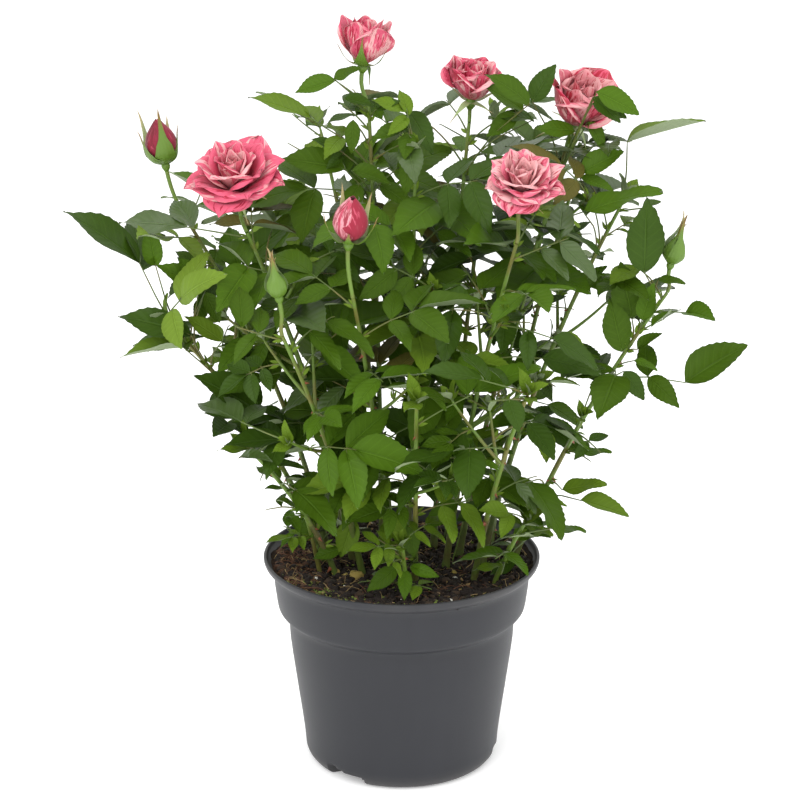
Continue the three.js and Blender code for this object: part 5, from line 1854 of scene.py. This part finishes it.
def sepals_of(flower):
    """Five sepals: a husk round a bud, or turned out from under a bloom."""
    base, bud = -flower.height / 2 - 2.4, flower.look.petals < 0
    for k, lean in enumerate(flower.look.sepals):
        shape, roll, cup = (HUSK, 0.0, 1.05) if bud else (SEPAL, 0.3, 1.05)
        if bud and flower.width < GREEN_BUD:
            angles, length, half, start = GREEN_HUSK, flower.height * 1.4, 5.2, 1.0
        elif bud:
            angles = (74, 46 + lean, 6 + lean, lean - 10, lean - 6, 10, 16)
            length, half, start = flower.height * (1.3 if lean < 14 else 1.05), 6.0, 1.0
            if flower.open and not k:
                angles, length = BUD_FRONT, flower.height * 0.6
        elif lean < 40:
            angles = (88, 60 + lean * 0.3, 14 + lean * 0.8, lean * 0.8, lean * 0.9) if k else CUP_FRONT
            start, cup = 1.2, 1.2
            length, half = (25, 3.9) if k else (34, 6.2)
        else:
            angles, length, half, start = (80, lean, lean + 14, lean + 6), 21, 2.5, 1.4
        size = 1 + 0.12 * math.sin(k * 1.9 + len(flower.name))
        yield Petal(
            length=length * size, half=half, angles=[math.radians(a) for a in angles], start=start, rise=base,
            roll=roll, tip=0.15, cup=cup, spiral=0, turn=math.radians(flower.look.first + 72 * k),
            shape=shape, ruffle=0.2,
        )


def in_flower(flower, corners):
    """Corners taken from a bloom's own frame into the plant's."""
    look, frame = flower.look, np.array(flower_frame(flower))
    foot = vec(0, 0, -flower.height / 2 - 3)
    c, d = math.cos(math.radians(look.tilt)), math.sin(math.radians(look.tilt))
    tipped = (corners - foot) * look.size @ np.array([[1, 0, 0], [0, c, -d], [0, d, c]])
    return vec(*flower.at) + (foot + tipped + (0, 0, look.lift)) @ frame


def build_blooms(settings):
    pink, cream, crimson = (screen(c) for c in (settings.pink, settings.cream, settings.crimson))
    paints = {
        "striped": (pink, cream, crimson, 0.07, 0.16),
        "rosy": (pink, cream, crimson, 0.06, 0.1, 0.5),
        "pale": ((220, 108, 132), cream, crimson, 0.16, 0.13, 0.6),
        "dark": ((132, 22, 48), (170, 60, 82), (104, 10, 30), 0.0, 0.18),
        "vivid": ((208, 74, 104), cream, (168, 14, 44), 0.08, 0.17, 0.6),
        "deep": ((186, 72, 94), (216, 150, 158), (140, 16, 44), 0.1, 0.22),
        "closed": ((104, 138, 54), (116, 150, 64), (92, 126, 46), 0.0, 0.1),
    }
    paints = {name: petal_material("petal_" + name, *values) for name, values in paints.items()}
    for number, flower in enumerate(FLOWERS):
        look, heap = flower.look, Heap()
        make = bud_petals if look.petals < 0 else cup_petals if look.petals else open_petals
        for k, petal in enumerate(make(flower, seeded(6007 + 31 * number))):
            corners, shape = petal_corners(petal, 12, 11)
            shape = shape._replace(uv=shape.uv + (k, 0), kinds=shape.kinds * 0)
            heap.add(in_flower(flower, corners), shape)
        slot = "buds" if flower.open < 0.1 else "roses"
        heap.build(flower.name + "_petals", [paints[look.paint]], slot, [flower.name], 75)


# the hip under a bloom: height from the bloom's foot, and radius
HIP = ((-8.4, 1.3), (-7, 2.1), (-5.4, 3.1), (-3.8, 3.5), (-2.4, 3.1), (-1.0, 2.6), (0.2, 2.2))


def build_calyxes(settings):
    heap = Heap()
    hip = tube_shape(14, len(HIP))
    hip = hip._replace(uv=hip.uv * 0.5)
    for flower in FLOWERS:
        low = -flower.height / 2
        size = mix(0.62, 1.0, min(1, flower.width / 45))
        points = [in_flower(flower, vec(0, 0, low + height * size)) for height, _ in HIP]
        heap.add(tube(points, [radius * size for _, radius in HIP], 14), hip, 0)
        for sepal in sepals_of(flower):
            corners, shape = petal_corners(sepal, 4, 16)
            heap.add(in_flower(flower, corners), shape)
    outside = sepal_material("calyx_green", screen(settings.calyx), (150, 98, 58))
    inside = sepal_material("sepal_pale", (164, 186, 128), (170, 140, 96))
    heap.build("calyxes", [outside, inside], "buds", (), 75)


# ---- stage


# the lamps: name, place and size in metres, and share of the main lamp's power
LAMPS = (
    ("key", (-0.7, -1.2, 1.3), 1.1, 1),
    ("fill", (1.2, -1.0, 0.9), 1.2, 0.45),
    ("top", (0.1, 0.5, 1.9), 1.4, 0.5),
)
AIM = Vector((0, 0, 0.25))
# down: degrees below level; sensor and lens in millimetres
CAMERA = {
    "place": (-0.00133, -1.127, 0.57), "down": 16.8, "sensor": 36, "lens": 88.07, "near": 0.05, "far": 60,
}
FLOOR_HALF = 12


def build_stage(settings):
    scene = bpy.context.scene
    scene.view_settings.view_transform = "Standard"
    bm = bmesh.new()
    bmesh.ops.create_grid(bm, x_segments=1, y_segments=1, size=FLOOR_HALF)
    mesh = bpy.data.meshes.new("floor")
    bm.to_mesh(mesh)
    bm.free()
    paint = Paint("floor_white")
    mesh.materials.append(paint.finish(
        Base_Color=linear(screen(settings.floor)), Roughness=0.9, Specular_IOR_Level=0.0,
        Emission_Color=(1, 1, 1, 1), Emission_Strength=settings.glow,
    ))
    floor = bpy.data.objects.new("floor", mesh)
    scene.collection.objects.link(floor)
    world = bpy.data.worlds.new("studio")
    world.use_nodes = True
    world.node_tree.nodes["Background"].inputs["Color"].default_value = (1, 1, 1, 1)
    world.node_tree.nodes["Background"].inputs["Strength"].default_value = settings.sky
    scene.world = world
    for name, place, size, share in LAMPS:
        light = bpy.data.lights.new(name, "AREA")
        light.size, light.energy = size, settings.key * share
        lamp = bpy.data.objects.new(name, light)
        lamp.location = place
        lamp.rotation_euler = (AIM - Vector(place)).to_track_quat("-Z", "Y").to_euler()
        scene.collection.objects.link(lamp)
    data = bpy.data.cameras.new("camera")
    data.sensor_width, data.lens = CAMERA["sensor"], CAMERA["lens"]
    data.clip_start, data.clip_end = CAMERA["near"], CAMERA["far"]
    camera = bpy.data.objects.new("camera", data)
    camera.location = CAMERA["place"]
    camera.rotation_euler = (math.radians(90 - CAMERA["down"]), 0, 0)
    scene.collection.objects.link(camera)
    scene.camera = camera


# ---- the add-on


class ROSE_OT_pot(bpy.types.Operator):
    """Make the nursery pot with its drain notches"""

    bl_idname = "rose.pot"
    bl_label = "Pot"

    def execute(self, context):
        build_pot(context.scene.rose_pot)
        return {"FINISHED"}


class ROSE_OT_soil(bpy.types.Operator):
    """Make the peat soil"""

    bl_idname = "rose.soil"
    bl_label = "Soil"

    def execute(self, context):
        build_soil(context.scene.rose_soil)
        return {"FINISHED"}


class ROSE_OT_litter(bpy.types.Operator):
    """Scatter the crumbs, fibres and perlite on the soil"""

    bl_idname = "rose.litter"
    bl_label = "Soil litter"

    def execute(self, context):
        build_litter(context.scene.rose_soil)
        return {"FINISHED"}


class ROSE_OT_canes(bpy.types.Operator):
    """Grow the canes with their bark"""

    bl_idname = "rose.canes"
    bl_label = "Canes"

    def execute(self, context):
        build_canes(context.scene.rose_plant)
        return {"FINISHED"}


class ROSE_OT_stems(bpy.types.Operator):
    """Grow the leafy stems, twigs, flower stalks and leaf stalks"""

    bl_idname = "rose.stems"
    bl_label = "Stems"

    def execute(self, context):
        build_stems(context.scene.rose_plant)
        return {"FINISHED"}


class ROSE_OT_thorns(bpy.types.Operator):
    """Set the thorns on the canes"""

    bl_idname = "rose.thorns"
    bl_label = "Thorns"

    def execute(self, context):
        build_thorns(context.scene.rose_plant)
        return {"FINISHED"}


class ROSE_OT_leaves(bpy.types.Operator):
    """Grow the compound leaves"""

    bl_idname = "rose.leaves"
    bl_label = "Leaves"

    def execute(self, context):
        build_leaves(context.scene.rose_plant)
        return {"FINISHED"}


class ROSE_OT_blooms(bpy.types.Operator):
    """Make the striped blooms and the buds' petals"""

    bl_idname = "rose.blooms"
    bl_label = "Blooms"

    def execute(self, context):
        build_blooms(context.scene.rose_bloom)
        return {"FINISHED"}


class ROSE_OT_calyxes(bpy.types.Operator):
    """Make the green hips and sepals under the blooms and round the buds"""

    bl_idname = "rose.calyxes"
    bl_label = "Calyxes"

    def execute(self, context):
        build_calyxes(context.scene.rose_bloom)
        return {"FINISHED"}


class ROSE_OT_stage(bpy.types.Operator):
    """Set up the floor, lights and camera"""

    bl_idname = "rose.stage"
    bl_label = "Stage"

    def execute(self, context):
        build_stage(context.scene.rose_stage)
        return {"FINISHED"}


STEPS = (
    ROSE_OT_pot, ROSE_OT_soil, ROSE_OT_litter, ROSE_OT_canes, ROSE_OT_stems, ROSE_OT_thorns, ROSE_OT_leaves,
    ROSE_OT_blooms, ROSE_OT_calyxes, ROSE_OT_stage,
)
SETTINGS = {
    "rose_pot": PotSettings, "rose_soil": SoilSettings, "rose_plant": PlantSettings,
    "rose_bloom": BloomSettings, "rose_stage": StageSettings,
}


class ROSE_PT_panel(bpy.types.Panel):
    """The rose's pieces and settings"""

    bl_idname = "ROSE_PT_panel"
    bl_label = "Potted rose"
    bl_space_type = "VIEW_3D"
    bl_region_type = "UI"
    bl_category = "Rose"

    def draw(self, context):
        for step in STEPS:
            self.layout.operator(step.bl_idname)
        for name, group in SETTINGS.items():
            box = self.layout.box()
            for key in group.__annotations__:
                box.prop(getattr(context.scene, name), key)


def register():
    for cls in (*SETTINGS.values(), *STEPS, ROSE_PT_panel):
        bpy.utils.register_class(cls)
    for name, group in SETTINGS.items():
        setattr(bpy.types.Scene, name, bpy.props.PointerProperty(type=group))


def unregister():
    for name in SETTINGS:
        delattr(bpy.types.Scene, name)
    for cls in (ROSE_PT_panel, *reversed(STEPS), *reversed(SETTINGS.values())):
        bpy.utils.unregister_class(cls)


def main():
    register()
    for step in STEPS:
        getattr(bpy.ops.rose, step.bl_idname.split(".")[1])()
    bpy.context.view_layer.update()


if __name__ == "__main__":
    main()
